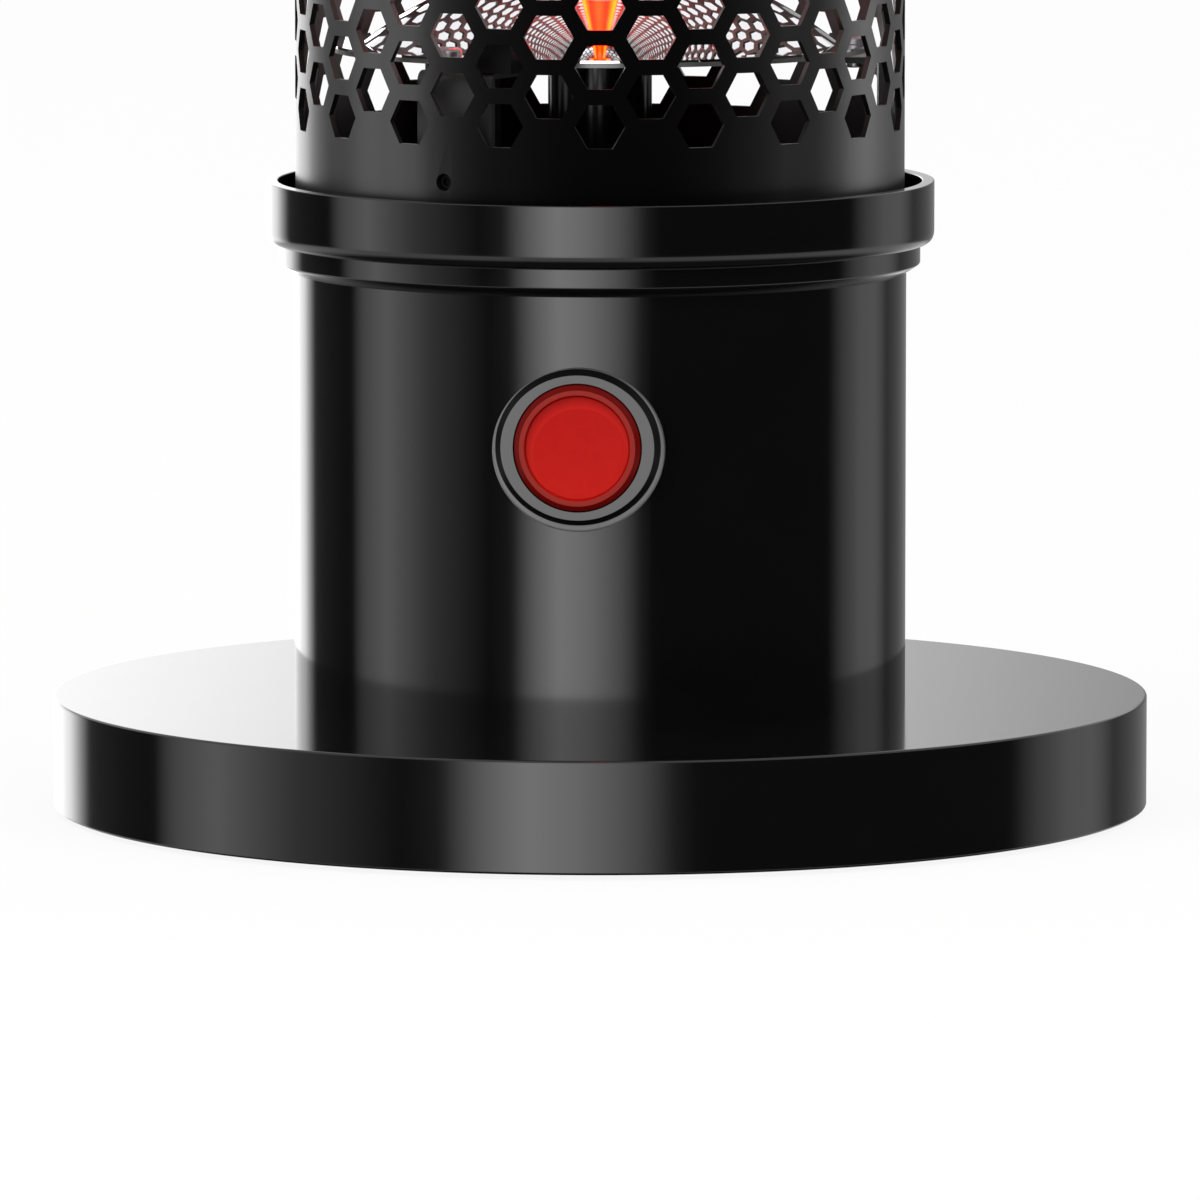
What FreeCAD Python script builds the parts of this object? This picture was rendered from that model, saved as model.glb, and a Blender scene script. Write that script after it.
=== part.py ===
import FreeCAD, Part
import math
import os
import Sketcher

# Carbon infrared tower heater for a table top, in millimetres.
# The feet stand at z = 0, the lamp stands on the Z axis and the push-button faces -Y.

SIZES = {
    # Base: a spun pan over a cast ballast plate
    "base_radius": 110.0,
    "base_height": 22.2,
    "base_wall": 2.0,
    "base_edge": 0.5,
    "base_lift": 1.0,
    "bottom_recess": 2.5,
    "bottom_thickness": 1.5,
    "bottom_clearance": 0.4,
    "ballast_radius": 92.0,
    "ballast_thickness": 11.0,
    "ballast_bore": 20.0,
    "foot_radius": 9.0,
    "foot_circle": 94.0,
    "foot_edge": 1.0,
    "post_radius": 5.0,
    # Tie rods that clamp the base, body and collar together
    "rod_radius": 2.0,
    "rod_circle": 50.5,
    "rod_clock": 63.5,
    "rod_reach": 4.8,
    "rod_grip": 2.6,
    "rod_nut_radius": 4.0,
    "rod_nut_height": 3.2,
    # Body tube
    "body_radius": 61.4,
    "body_wall": 1.5,
    "body_height": 85.1,
    "body_flange": 13.9,
    # Stepped collar on top of the body
    "collar_flare": 2.8,
    "collar_flare_height": 1.8,
    "collar_ring_height": 3.9,
    "collar_band_step": 2.8,
    "collar_band_height": 12.6,
    "collar_round": 2.7,
    "rim_wall": 2.5,
    "seat_thickness": 3.0,
    "seat_inner": 53.6,
    "spigot_wall": 2.5,
    "spigot_depth": 8.0,
    "spigot_clearance": 0.2,
    # Perforated guard
    "guard_radius": 61.0,
    "guard_wall": 1.1,
    "guard_clock": 3.95,
    "guard_screw_rise": 13.2,
    "hex_pitch": 11.6,
    "hex_flats": 8.55,
    "first_hex_rise": 24.65,
    # Decks, legs and spacers at both ends of the lamp
    "deck_thickness": 1.2,
    "deck_clearance": 0.4,
    "leg_clock": -116.2,
    "leg_width": 17.0,
    "leg_thickness": 1.2,
    "leg_bend": 2.0,
    "leg_foot": 14.0,
    "leg_clearance": 2.5,
    "rivet_inset": 3.0,
    "spacer_radius": 3.2,
    "spacer_height": 1.1,
    "spacer_offset": -5.2,
    # Reflectors
    "reflector_rise": 37.1,
    "reflector_thickness": 1.4,
    "flange_radius": 54.0,
    "dome_rim": 47.5,
    "dome_sphere": 75.0,
    "dome_clearance": 0.4,
    # Stems and lamp
    "stem_radius": 10.4,
    "stem_wall": 1.2,
    "stem_length": 41.8,
    "stem_tail": 9.0,
    "shoulder_radius": 14.0,
    "shoulder_height": 2.0,
    "stem_nut_radius": 15.0,
    "stem_nut_height": 5.0,
    "holder_length": 26.0,
    "holder_spigot": 10.0,
    "holder_edge": 1.0,
    "socket_depth": 12.0,
    "lead_hole": 2.0,
    "lamp_cap_radius": 8.6,
    "lamp_cap_length": 20.0,
    "lamp_cup_depth": 8.0,
    "tube_radius": 7.2,
    "tube_wall": 1.0,
    "filament_radius": 5.9,
    "filament_wall": 0.7,
    "lamp_clearance": 0.1,
    # Top cap
    "cap_drum_height": 24.2,
    "cap_wall": 2.0,
    "cap_edge": 3.0,
    "cap_screw_circle": 56.0,
    # Illuminated push-button
    "switch_rise": 55.8,
    "saddle_radius": 16.85,
    "saddle_proud": 1.2,
    "saddle_edge": 0.8,
    "bezel_radius": 16.05,
    "bezel_face": 15.2,
    "bezel_thickness": 1.8,
    "bezel_rim": 0.8,
    "barrel_radius": 13.9,
    "barrel_bore": 12.75,
    "barrel_length": 18.6,
    "barrel_floor": 2.0,
    "switch_nut_radius": 17.5,
    "switch_nut_height": 4.0,
    "button_radius": 12.45,
    "button_proud": 1.0,
    "button_skirt": 8.4,
    "button_wall": 1.65,
    "button_edge": 0.8,
    "button_ring": 1.9,
    "button_dish": 0.6,
    "button_travel": 2.5,
    "plunger_radius": 4.7,
    "plunger_plate_radius": 12.0,
    "plunger_plate": 2.0,
    "plunger_tip": 1.0,
    "sliding_gap": 0.3,
    "spring_gap": 0.9,
    "spring_wire": 1.8,
    "indicator_radius": 2.4,
    "indicator_height": 4.0,
    "contact_width": 20.0,
    "contact_height": 14.0,
    "contact_depth": 18.0,
    "contact_arm": 2.0,
    "terminal_spread": 5.0,
    "terminal_width": 4.8,
    "terminal_thickness": 0.8,
    "terminal_length": 8.0,
    # Thermal cut-out beside the front leg
    "cutout_width": 8.0,
    "cutout_depth": 5.0,
    "cutout_height": 6.3,
    "cutout_offset": 4.6,
    "cutout_radial": 51.5,
    "cutout_clearance": 0.5,
    # Tip-over switch inside the body
    "tip_x": -29.0,
    "tip_y": 5.0,
    "tip_width": 24.0,
    "tip_depth": 24.0,
    "tip_sheet": 1.2,
    "tip_pivot_rise": 34.8,
    "tip_pin_radius": 1.5,
    "tip_pin_overhang": 1.0,
    "running_clearance": 0.05,
    "hub_radius": 4.0,
    "hub_length": 16.0,
    "arm_width": 6.0,
    "arm_thickness": 3.0,
    "bob_radius": 8.0,
    "bob_length": 14.0,
    "bob_drop": 24.0,
    "finger_height": 6.5,
    "nub_radius": 1.2,
    "nub_height": 2.2,
    "tip_switch_depth": 10.0,
    "tip_switch_height": 10.0,
    # Wiring
    "terminal_block_length": 28.0,
    "terminal_block_front": -8.0,
    "terminal_block_depth": 26.0,
    "terminal_block_height": 16.0,
    "block_screw_radius": 2.0,
    "block_screw_height": 1.5,
    "block_screw_pitch": 6.0,
    "block_screw_row": 6.0,
    "wire_radius": 1.1,
    "wire_bend": 8.0,
    "upper_wire_row": 12.0,
    "upper_wire_turn": 71.8,
    "cap_wire_height": 11.0,
    "conduit_circle": 50.75,
    "conduit_radius": 1.8,
    "conduit_wall": 0.45,
    "conduit_reach": 2.0,
    "gland_rise": 18.0,
    "gland_bore": 3.75,
    "gland_neck": 6.0,
    "gland_neck_length": 11.5,
    "gland_flange": 9.0,
    "gland_flange_height": 4.0,
    "gland_nose": 6.5,
    "gland_nose_length": 8.5,
    "gland_edge": 1.0,
    "gland_nut_height": 4.0,
    "earth_x": 22.0,
    "earth_y": -25.0,
    # Fasteners
    "screw_radius": 1.5,
    "screw_head_radius": 2.9,
    "screw_head_height": 1.8,
    "guard_screw_length": 8.0,
    "guard_screw_sunk": 0.8,
    "guard_nut_radius": 3.2,
    "guard_nut_height": 2.4,
    "rivet_head_height": 1.0,
    "cap_screw_length": 8.0,
    "hole_clearance": 0.2,
    # Extra length of every cutting tool
    "overrun": 5.0,
}

# Counts
FEET = 4
RODS = 3
LEGS = 3
HEX_COLUMNS = 38
HEX_ROWS = 39
HEX_SIDES = 6
FULL_TURN = 360.0
BLOCK_SCREWS = 4

doc = FreeCAD.newDocument("carbon_heater")
sheet = doc.addObject("Spreadsheet::Sheet", "sizes")
for row, (alias, value) in enumerate(SIZES.items(), start=1):
    sheet.set(f"A{row}", alias)
    sheet.set(f"B{row}", str(value))
    sheet.setAlias(f"B{row}", alias)
doc.recompute()

nodes = {}


class Size:
    """A size that carries its number and the sheet expression that gives it."""

    def __init__(self, number, text):
        self.number = number
        self.text = text

    def __add__(self, other):
        return Size(self.number + other.number, f"({self.text} + {other.text})")

    def __sub__(self, other):
        return Size(self.number - other.number, f"({self.text} - {other.text})")

    def __neg__(self):
        return Size(-self.number, f"(0 - {self.text})")

    def __mul__(self, share):
        return Size(self.number * share, f"({self.text} * {share})")

    def cos(self, angle):
        return Size(self.number * math.cos(math.radians(angle.number)), f"({self.text} * cos({angle.text}))")

    def sin(self, angle):
        return Size(self.number * math.sin(math.radians(angle.number)), f"({self.text} * sin({angle.text}))")


class Corner:
    """A corner of an outline: rounding softens it, sphere bends the edge that leaves it about (0, centre)."""

    def __init__(self, across, along, rounding=None, sphere=None, centre=None):
        self.across = across
        self.along = along
        self.rounding = rounding
        self.sphere = sphere
        self.centre = centre


ZERO = Size(0.0, "0")
HALF = 0.5


def size(alias):
    return Size(float(sheet.get(alias)), f"sizes.{alias}")


def turn(angle, degrees):
    return Size(angle.number + degrees, f"({angle.text} + {degrees})")


def side_of(longest, other):
    """The second short side of a right triangle."""
    root = math.sqrt(longest.number**2 - other.number**2)
    return Size(root, f"sqrt({longest.text}^2 - {other.text}^2)")


def vector(*numbers):
    return FreeCAD.Vector(*numbers)


def bind(obj, **sizes):
    for name, value in sizes.items():
        obj.setExpression(name, value.text)
    return obj


def place(obj, x=ZERO, y=ZERO, z=ZERO, rotation=FreeCAD.Rotation()):
    obj.Placement = FreeCAD.Placement(vector(x.number, y.number, z.number), rotation)
    for axis, value in zip("xyz", (x, y, z)):
        obj.setExpression(f"Placement.Base.{axis}", value.text)
    return obj


def place_round(obj, radial, tangential, z, angle, rotation=FreeCAD.Rotation()):
    """Seats an object at a radial and a sideways distance from the axis, turned to face outwards."""
    x = radial.cos(angle) - tangential.sin(angle)
    y = radial.sin(angle) + tangential.cos(angle)
    return place(obj, x, y, z, FreeCAD.Rotation(vector(0, 0, 1), angle.number) * rotation)


def keep(label, obj):
    """Names an object as a sub-part of the heater."""
    obj.Label = label
    nodes[label] = obj
    return obj


def cylinder(name, radius, height):
    return bind(doc.addObject("Part::Cylinder", name), Radius=radius, Height=height)


def box(name, length, width, height):
    return bind(doc.addObject("Part::Box", name), Length=length, Width=width, Height=height)


def hexagon(name, corner_radius, height):
    return bind(doc.addObject("Part::Prism", name), Circumradius=corner_radius, Height=height)


def cut(name, base, tools):
    for number, tool in enumerate(tools):
        result = doc.addObject("Part::Cut", f"{name}_cut_{number}")
        result.Base = base
        result.Tool = tool
        base = result
    return base


def fuse(name, pieces):
    result = doc.addObject("Part::MultiFuse", name)
    result.Shapes = pieces
    return result


def group(label, pieces):
    """Gathers like pieces, each its own solid, under one name."""
    result = doc.addObject("Part::Compound", label)
    result.Links = pieces
    return keep(label, result)


def origin_feature(body, role):
    return next(feature for feature in body.Origin.OriginFeatures if feature.Role == role)


def new_sketch(body, name, role):
    sketch = body.newObject("Sketcher::SketchObject", name)
    sketch.AttachmentSupport = [(origin_feature(body, role), "")]
    sketch.MapMode = "FlatFace"
    return sketch


def pin(sketch, geometry, point, across, along):
    for kind, value in (("DistanceX", across), ("DistanceY", along)):
        number = sketch.addConstraint(Sketcher.Constraint(kind, -1, 1, geometry, point, value.number))
        sketch.setExpression(f"Constraints[{number}]", value.text)


def stepped(corner, neighbour, distance):
    """The point at a distance from a square corner towards its neighbour."""
    across_gap = neighbour.across.number - corner.across.number
    along_gap = neighbour.along.number - corner.along.number
    if abs(across_gap) > abs(along_gap):
        return corner.across + distance * math.copysign(1, across_gap), corner.along
    return corner.across, corner.along + distance * math.copysign(1, along_gap)


def outline(sketch, corners):
    """Draws a closed outline of lines and arcs, with every end bound to the sheet."""
    ends = []
    for number, corner in enumerate(corners):
        if corner.rounding is None:
            centre = (ZERO, corner.centre) if corner.sphere else None
            ends.append((corner.across, corner.along, corner.sphere, centre))
            continue
        before = stepped(corner, corners[number - 1], corner.rounding)
        after = stepped(corner, corners[(number + 1) % len(corners)], corner.rounding)
        centre = (before[0] + after[0] - corner.across, before[1] + after[1] - corner.along)
        ends.append((*before, corner.rounding, centre))
        ends.append((*after, None, None))
    firsts, lasts = [], []
    for number, (across, along, radius, centre) in enumerate(ends):
        start = vector(across.number, along.number, 0)
        beyond = ends[(number + 1) % len(ends)]
        finish = vector(beyond[0].number, beyond[1].number, 0)
        if radius is None:
            edge = sketch.addGeometry(Part.LineSegment(start, finish))
        else:
            middle = vector(centre[0].number, centre[1].number, 0)
            outwards = (start - middle) + (finish - middle)
            outwards.normalize()
            edge = sketch.addGeometry(Part.Arc(start, middle + outwards * radius.number, finish))
        forwards = (sketch.getPoint(edge, 1) - start).Length < (sketch.getPoint(edge, 2) - start).Length
        firsts.append((edge, 1 if forwards else 2))
        lasts.append((edge, 2 if forwards else 1))
    for number, (across, along, radius, centre) in enumerate(ends):
        following = firsts[(number + 1) % len(ends)]
        sketch.addConstraint(Sketcher.Constraint("Coincident", *lasts[number], *following))
        pin(sketch, *firsts[number], across, along)
        if radius is not None:
            bend = sketch.addConstraint(Sketcher.Constraint("Radius", firsts[number][0], radius.number))
            sketch.setExpression(f"Constraints[{bend}]", radius.text)


def turned(label, corners):
    """A body turned about its own Z axis from an outline of radius and height."""
    body = doc.addObject("PartDesign::Body", label)
    sketch = new_sketch(body, f"{label}_profile", "XZ_Plane")
    outline(sketch, corners)
    revolution = body.newObject("PartDesign::Revolution", f"{label}_turned")
    revolution.Profile = sketch
    revolution.ReferenceAxis = (sketch, ["V_Axis"])
    revolution.Angle = FULL_TURN
    return body


def bent_strip(label, corners, width):
    """A strip bent to a side outline of radius and height, as wide as width."""
    body = doc.addObject("PartDesign::Body", label)
    sketch = new_sketch(body, f"{label}_profile", "XZ_Plane")
    outline(sketch, corners)
    pad = body.newObject("PartDesign::Pad", f"{label}_pad")
    pad.Profile = sketch
    pad.SideType = "Symmetric"
    bind(pad, Length=width)
    return body


def drill(body, name, x, y, radius, count):
    """Drills a vertical hole right through a body, and repeats it round the axis."""
    sketch = new_sketch(body, f"{name}_circle", "XY_Plane")
    circle = sketch.addGeometry(Part.Circle(vector(x.number, y.number, 0), vector(0, 0, 1), radius.number))
    pin(sketch, circle, 3, x, y)
    number = sketch.addConstraint(Sketcher.Constraint("Radius", circle, radius.number))
    sketch.setExpression(f"Constraints[{number}]", radius.text)
    doc.recompute()
    pocket = body.newObject("PartDesign::Pocket", f"{name}_pocket")
    pocket.Profile = sketch
    pocket.Type = "ThroughAll"
    pocket.SideType = "Symmetric"
    if count > 1:
        pattern = body.newObject("PartDesign::PolarPattern", f"{name}_ring")
        pattern.Originals = [pocket]
        pattern.Axis = (origin_feature(body, "Z_Axis"), [""])
        pattern.Angle = FULL_TURN
        pattern.Occurrences = count
        body.Tip = pattern
    doc.recompute()
    return body


def drill_ring(body, name, circle, angle, radius, count):
    return drill(body, name, circle.cos(angle), circle.sin(angle), radius, count)


def ring(name, outer, inner, height):
    """A plain tube that stands on its own origin."""
    return cut(name, cylinder(f"{name}_outside", outer, height), [cylinder(f"{name}_bore", inner, height)])


def nut(name, corner_radius, bore, height):
    """A hexagon nut that stands on its own origin."""
    return cut(name, hexagon(f"{name}_hex", corner_radius, height), [cylinder(f"{name}_bore", bore, height)])


def screw(name, radius, length, head_radius, head_height):
    """A screw or rivet whose head sits on z = 0 and whose shank hangs below."""
    shank = place(cylinder(f"{name}_shank", radius, length), z=-length)
    return fuse(name, [shank, cylinder(f"{name}_head", head_radius, head_height)])


# Directions that a piece built along Z is turned to
FRONT = FreeCAD.Rotation(vector(1, 0, 0), 90)
BACK = FreeCAD.Rotation(vector(1, 0, 0), -90)
ALONG_X = FreeCAD.Rotation(vector(0, 1, 0), 90)
OVER = FreeCAD.Rotation(vector(1, 0, 0), 180)

overrun = size("overrun")
hole_clearance = size("hole_clearance")
screw_hole = size("screw_radius") + hole_clearance

# Levels, from the table upwards
pan_bottom = size("base_lift")
pan_top = pan_bottom + size("base_height")
pan_ceiling = pan_top - size("base_wall")
plate_bottom = pan_bottom + size("bottom_recess")
plate_top = plate_bottom + size("bottom_thickness")
ballast_top = plate_top + size("ballast_thickness")
body_top = pan_top + size("body_height")
ring_bottom = body_top + size("collar_flare_height")
ring_top = ring_bottom + size("collar_ring_height")
collar_top = ring_top + size("collar_band_height")
guard_bottom = ring_top + size("seat_thickness")
guard_height = size("first_hex_rise") * 2 + size("hex_pitch") * (HEX_ROWS - 1)
guard_top = guard_bottom + guard_height
deck_top = guard_bottom + size("deck_thickness")
flange_top = guard_bottom + size("reflector_rise")
flange_bottom = flange_top - size("reflector_thickness")
leg_top = flange_bottom - size("spacer_height")
stem_top = deck_top + size("stem_length")
holder_top = stem_top + size("holder_length")
lamp_bottom = holder_top - size("socket_depth")
tube_bottom = lamp_bottom + size("lamp_cap_length") - size("lamp_cup_depth")


def lower(z):
    return z


def upper(z):
    """The same level counted down from the guard's top edge."""
    return guard_bottom + guard_top - z


# Base: a spun pan, closed below by a plate and weighted by cast iron
base_radius = size("base_radius")
pan_inner = base_radius - size("base_wall")
rod_circle = size("rod_circle")
rod_clock = size("rod_clock")
rod_hole = size("rod_radius") + hole_clearance
earth_x = size("earth_x")
earth_y = size("earth_y")
base_cover = turned("base_cover", [
    Corner(ZERO, pan_ceiling),
    Corner(pan_inner, pan_ceiling),
    Corner(pan_inner, pan_bottom),
    Corner(base_radius, pan_bottom, size("base_edge")),
    Corner(base_radius, pan_top, size("base_edge")),
    Corner(ZERO, pan_top),
])
drill_ring(base_cover, "base_rod_holes", rod_circle, rod_clock, rod_hole, RODS)
drill(base_cover, "earth_hole", earth_x, earth_y, screw_hole, 1)
keep("base_cover", base_cover)

bottom_plate = turned("bottom_plate", [
    Corner(ZERO, plate_bottom),
    Corner(pan_inner - size("bottom_clearance"), plate_bottom),
    Corner(pan_inner - size("bottom_clearance"), plate_top),
    Corner(ZERO, plate_top),
])
drill_ring(bottom_plate, "plate_screw_holes", rod_circle, rod_clock, rod_hole, RODS)
keep("bottom_plate", bottom_plate)

ballast_plate = turned("ballast_plate", [
    Corner(size("ballast_bore"), plate_top),
    Corner(size("ballast_radius"), plate_top),
    Corner(size("ballast_radius"), ballast_top, size("base_edge")),
    Corner(size("ballast_bore"), ballast_top),
])
drill_ring(ballast_plate, "ballast_screw_holes", rod_circle, rod_clock, rod_hole, RODS)
keep("ballast_plate", ballast_plate)

feet = []
for number in range(FEET):
    foot = turned(f"foot_{number}", [
        Corner(ZERO, ZERO),
        Corner(size("foot_radius"), ZERO, size("foot_edge")),
        Corner(size("foot_radius"), plate_bottom),
        Corner(ZERO, plate_bottom),
    ])
    angle = turn(ZERO, FULL_TURN * (number + HALF) / FEET)
    feet.append(place_round(foot, size("foot_circle"), ZERO, ZERO, angle))
group("rubber_feet", feet)

# Tie rods stand in threaded posts under the pan and draw the deck down on the collar and body
rod_length = deck_top + size("rod_nut_height") + size("rod_reach") - pan_ceiling
posts, rods, rod_nuts, base_screws = [], [], [], []
for number in range(RODS):
    angle = turn(rod_clock, FULL_TURN * number / RODS)
    post = ring(f"post_{number}", size("post_radius"), rod_hole, pan_ceiling - ballast_top)
    posts.append(place_round(post, rod_circle, ZERO, ballast_top, angle))
    rod = cylinder(f"rod_{number}", size("rod_radius"), rod_length + size("rod_grip"))
    rods.append(place_round(rod, rod_circle, ZERO, pan_ceiling - size("rod_grip"), angle))
    rod_nut = nut(f"rod_nut_{number}", size("rod_nut_radius"), rod_hole, size("rod_nut_height"))
    rod_nuts.append(place_round(rod_nut, rod_circle, ZERO, deck_top, angle))
    shank = ballast_top + size("rod_grip") - hole_clearance - plate_bottom
    bolt = screw(f"base_screw_{number}", size("rod_radius"), shank, size("rod_nut_radius"),
                 size("screw_head_height"))
    base_screws.append(place_round(bolt, rod_circle, ZERO, plate_bottom, angle, OVER))
group("base_posts", posts)
group("tie_rods", rods)
group("rod_nuts", rod_nuts)
group("base_screws", base_screws)

# Body: a drawn tube with an inward flange, pierced at the front for the button and behind for the cord
body_radius = size("body_radius")
body_inner = body_radius - size("body_wall")
switch_z = pan_top + size("switch_rise")
gland_z = pan_top + size("gland_rise")
barrel_hole = size("barrel_radius") + size("sliding_gap")
gland_hole = size("gland_neck") + size("sliding_gap")
body_tube = turned("body_tube", [
    Corner(body_inner - size("body_flange"), pan_top),
    Corner(body_radius, pan_top),
    Corner(body_radius, body_top),
    Corner(body_inner, body_top),
    Corner(body_inner, pan_top + size("body_wall")),
    Corner(body_inner - size("body_flange"), pan_top + size("body_wall")),
])
drill_ring(body_tube, "flange_rod_holes", rod_circle, rod_clock, rod_hole, RODS)
button_opening = cylinder("button_opening", barrel_hole, body_radius + overrun)
place(button_opening, z=switch_z, rotation=FRONT)
cord_opening = cylinder("cord_opening", gland_hole, body_radius + overrun)
place(cord_opening, z=gland_z, rotation=BACK)
keep("body_shell", cut("body_shell", body_tube, [button_opening, cord_opening]))

# Collar: flares out in steps, carries the deck on its inner seat and hides the foot of the guard
ring_radius = body_radius + size("collar_flare")
band_radius = ring_radius + size("collar_band_step")
rim_inner = band_radius - size("rim_wall")
spigot_radius = body_inner - size("spigot_clearance")
spigot_inner = spigot_radius - size("spigot_wall")
seat_inner = size("seat_inner")
keep("collar", turned("collar", [
    Corner(body_radius, body_top),
    Corner(ring_radius, ring_bottom),
    Corner(ring_radius, ring_top),
    Corner(band_radius, ring_top, size("collar_round")),
    Corner(band_radius, collar_top),
    Corner(rim_inner, collar_top),
    Corner(rim_inner, guard_bottom),
    Corner(seat_inner, guard_bottom),
    Corner(seat_inner, ring_top),
    Corner(spigot_inner, ring_top),
    Corner(spigot_inner, body_top - size("spigot_depth")),
    Corner(spigot_radius, body_top - size("spigot_depth")),
    Corner(spigot_radius, body_top),
]))

# Top cap: the collar's steps turned over, with a closed drum above
cap_base = upper(body_top)
cap_top = cap_base + size("cap_drum_height")
cap_inner = body_radius - size("cap_wall")
cap_drum = turned("cap_drum", [
    Corner(rim_inner, upper(guard_bottom)),
    Corner(rim_inner, upper(collar_top)),
    Corner(band_radius, upper(collar_top)),
    Corner(band_radius, upper(ring_top), size("collar_round")),
    Corner(ring_radius, upper(ring_top)),
    Corner(ring_radius, upper(ring_bottom)),
    Corner(body_radius, cap_base),
    Corner(body_radius, cap_top, size("cap_edge")),
    Corner(ZERO, cap_top),
    Corner(ZERO, cap_top - size("cap_wall")),
    Corner(cap_inner, cap_top - size("cap_wall")),
    Corner(cap_inner, upper(ring_top)),
    Corner(seat_inner, upper(ring_top)),
    Corner(seat_inner, upper(guard_bottom)),
])
cap_screws, cap_holes = [], []
for number in range(RODS):
    angle = turn(rod_clock, FULL_TURN * number / RODS)
    hole = cylinder(f"cap_screw_hole_{number}", screw_hole, size("seat_thickness") + overrun * 2)
    cap_holes.append(place_round(hole, size("cap_screw_circle"), ZERO, upper(guard_bottom + overrun), angle))
    bolt = screw(f"cap_screw_{number}", size("screw_radius"), size("cap_screw_length"),
                 size("screw_head_radius"), size("screw_head_height"))
    cap_screws.append(place_round(bolt, size("cap_screw_circle"), ZERO, upper(deck_top), angle, OVER))
keep("top_cap", cut("top_cap", cap_drum, cap_holes))
group("cap_screws", cap_screws)

# Guard sizes that the legs and decks share
guard_radius = size("guard_radius")
guard_inner = guard_radius - size("guard_wall")
leg_outer = side_of(guard_inner, size("leg_width") * HALF) - size("leg_clearance")
leg_inner = leg_outer - size("leg_thickness")
foot_end = leg_outer - size("leg_foot")
rivet_circle = foot_end + size("rivet_inset")
leg_clock = size("leg_clock")
spacer_circle = (size("flange_radius") + size("dome_rim")) * HALF
conduit_hole = size("conduit_radius") + hole_clearance
guard_screw_z = guard_bottom + size("guard_screw_rise")
conduit_clock = turn(ZERO, FULL_TURN / 4)


def deck(label, level):
    """A pressed disc that carries the stem, the legs and the wire conduit at one end of the lamp."""
    plate = turned(label, [
        Corner(size("stem_radius") + hole_clearance, level(guard_bottom)),
        Corner(guard_inner - size("deck_clearance"), level(guard_bottom)),
        Corner(guard_inner - size("deck_clearance"), level(deck_top)),
        Corner(size("stem_radius") + hole_clearance, level(deck_top)),
    ])
    drill_ring(plate, f"{label}_rivet_holes", rivet_circle, leg_clock, screw_hole, LEGS)
    drill_ring(plate, f"{label}_conduit_hole", size("conduit_circle"), conduit_clock, conduit_hole, 1)
    return plate


lower_deck = deck("lower_deck", lower)
drill_ring(lower_deck, "deck_rod_holes", rod_circle, rod_clock, rod_hole, RODS)
keep("lower_deck", lower_deck)
upper_deck = deck("upper_deck", upper)
drill_ring(upper_deck, "deck_screw_holes", size("cap_screw_circle"), rod_clock, screw_hole, RODS)
keep("upper_deck", upper_deck)


def leg(name, level):
    """A strip bent to a C: one foot on the deck, one under the reflector, a screw hole to the guard."""
    bar = size("leg_thickness")
    strip = bent_strip(name, [
        Corner(foot_end, level(deck_top)),
        Corner(leg_outer, level(deck_top), size("leg_bend")),
        Corner(leg_outer, level(leg_top), size("leg_bend")),
        Corner(foot_end, level(leg_top)),
        Corner(foot_end, level(leg_top - bar)),
        Corner(leg_inner, level(leg_top - bar)),
        Corner(leg_inner, level(deck_top + bar)),
        Corner(foot_end, level(deck_top + bar)),
    ], size("leg_width"))
    rivet_hole = cylinder(f"{name}_rivet_hole", screw_hole, overrun)
    place(rivet_hole, x=rivet_circle, z=level(deck_top + bar * HALF) - overrun * HALF)
    spacer_hole = cylinder(f"{name}_spacer_hole", screw_hole, overrun)
    place(spacer_hole, spacer_circle, size("spacer_offset"), level(leg_top - bar * HALF) - overrun * HALF)
    guard_hole = cylinder(f"{name}_guard_hole", screw_hole, size("leg_foot"))
    place(guard_hole, x=leg_inner - overrun, z=level(guard_screw_z), rotation=ALONG_X)
    return cut(name, strip, [rivet_hole, spacer_hole, guard_hole])


rivets, spacers, reflector_screws, guard_screws, guard_nuts = [], [], [], [], []
for end, level, upright in (("lower", lower, FreeCAD.Rotation()), ("upper", upper, OVER)):
    legs = []
    for number in range(LEGS):
        angle = turn(leg_clock, FULL_TURN * number / LEGS)
        mark = f"{end}_{number}"
        legs.append(place_round(leg(f"{end}_leg_{number}", level), ZERO, ZERO, ZERO, angle))

        grip = size("leg_thickness") + size("deck_thickness")
        rivet = fuse(f"rivet_{mark}", [
            screw(f"rivet_top_{mark}", size("screw_radius"), grip, size("screw_head_radius"),
                  size("rivet_head_height")),
            place(cylinder(f"rivet_tail_{mark}", size("screw_head_radius"), size("rivet_head_height")),
                  z=-grip - size("rivet_head_height")),
        ])
        rivet_seat = level(deck_top + size("leg_thickness"))
        rivets.append(place_round(rivet, rivet_circle, ZERO, rivet_seat, angle, upright))

        spacer = ring(f"spacer_{mark}", size("spacer_radius"), screw_hole, size("spacer_height"))
        sideways = size("spacer_offset")
        spacers.append(place_round(spacer, spacer_circle, sideways, level(leg_top), angle, upright))

        shank = size("reflector_thickness") + size("spacer_height") + size("leg_thickness")
        bolt = screw(f"reflector_screw_{mark}", size("screw_radius"), shank + size("rivet_head_height"),
                     size("screw_head_radius"), size("screw_head_height"))
        reflector_screws.append(place_round(bolt, spacer_circle, sideways, level(flange_top), angle, upright))

        stud = cylinder(f"guard_screw_{mark}", size("screw_radius"), size("guard_screw_length"))
        start = guard_radius - size("guard_screw_sunk") - size("guard_screw_length")
        guard_screws.append(place_round(stud, start, ZERO, level(guard_screw_z), angle, ALONG_X))

        weld_nut = nut(f"guard_nut_{mark}", size("guard_nut_radius"), screw_hole, size("guard_nut_height"))
        nut_start = leg_inner - size("guard_nut_height")
        guard_nuts.append(place_round(weld_nut, nut_start, ZERO, level(guard_screw_z), angle, ALONG_X))
    group(f"{end}_legs", legs)
group("leg_rivets", rivets)
group("reflector_spacers", spacers)
group("reflector_screws", reflector_screws)
group("guard_screws", guard_screws)
group("guard_nuts", guard_nuts)

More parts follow.
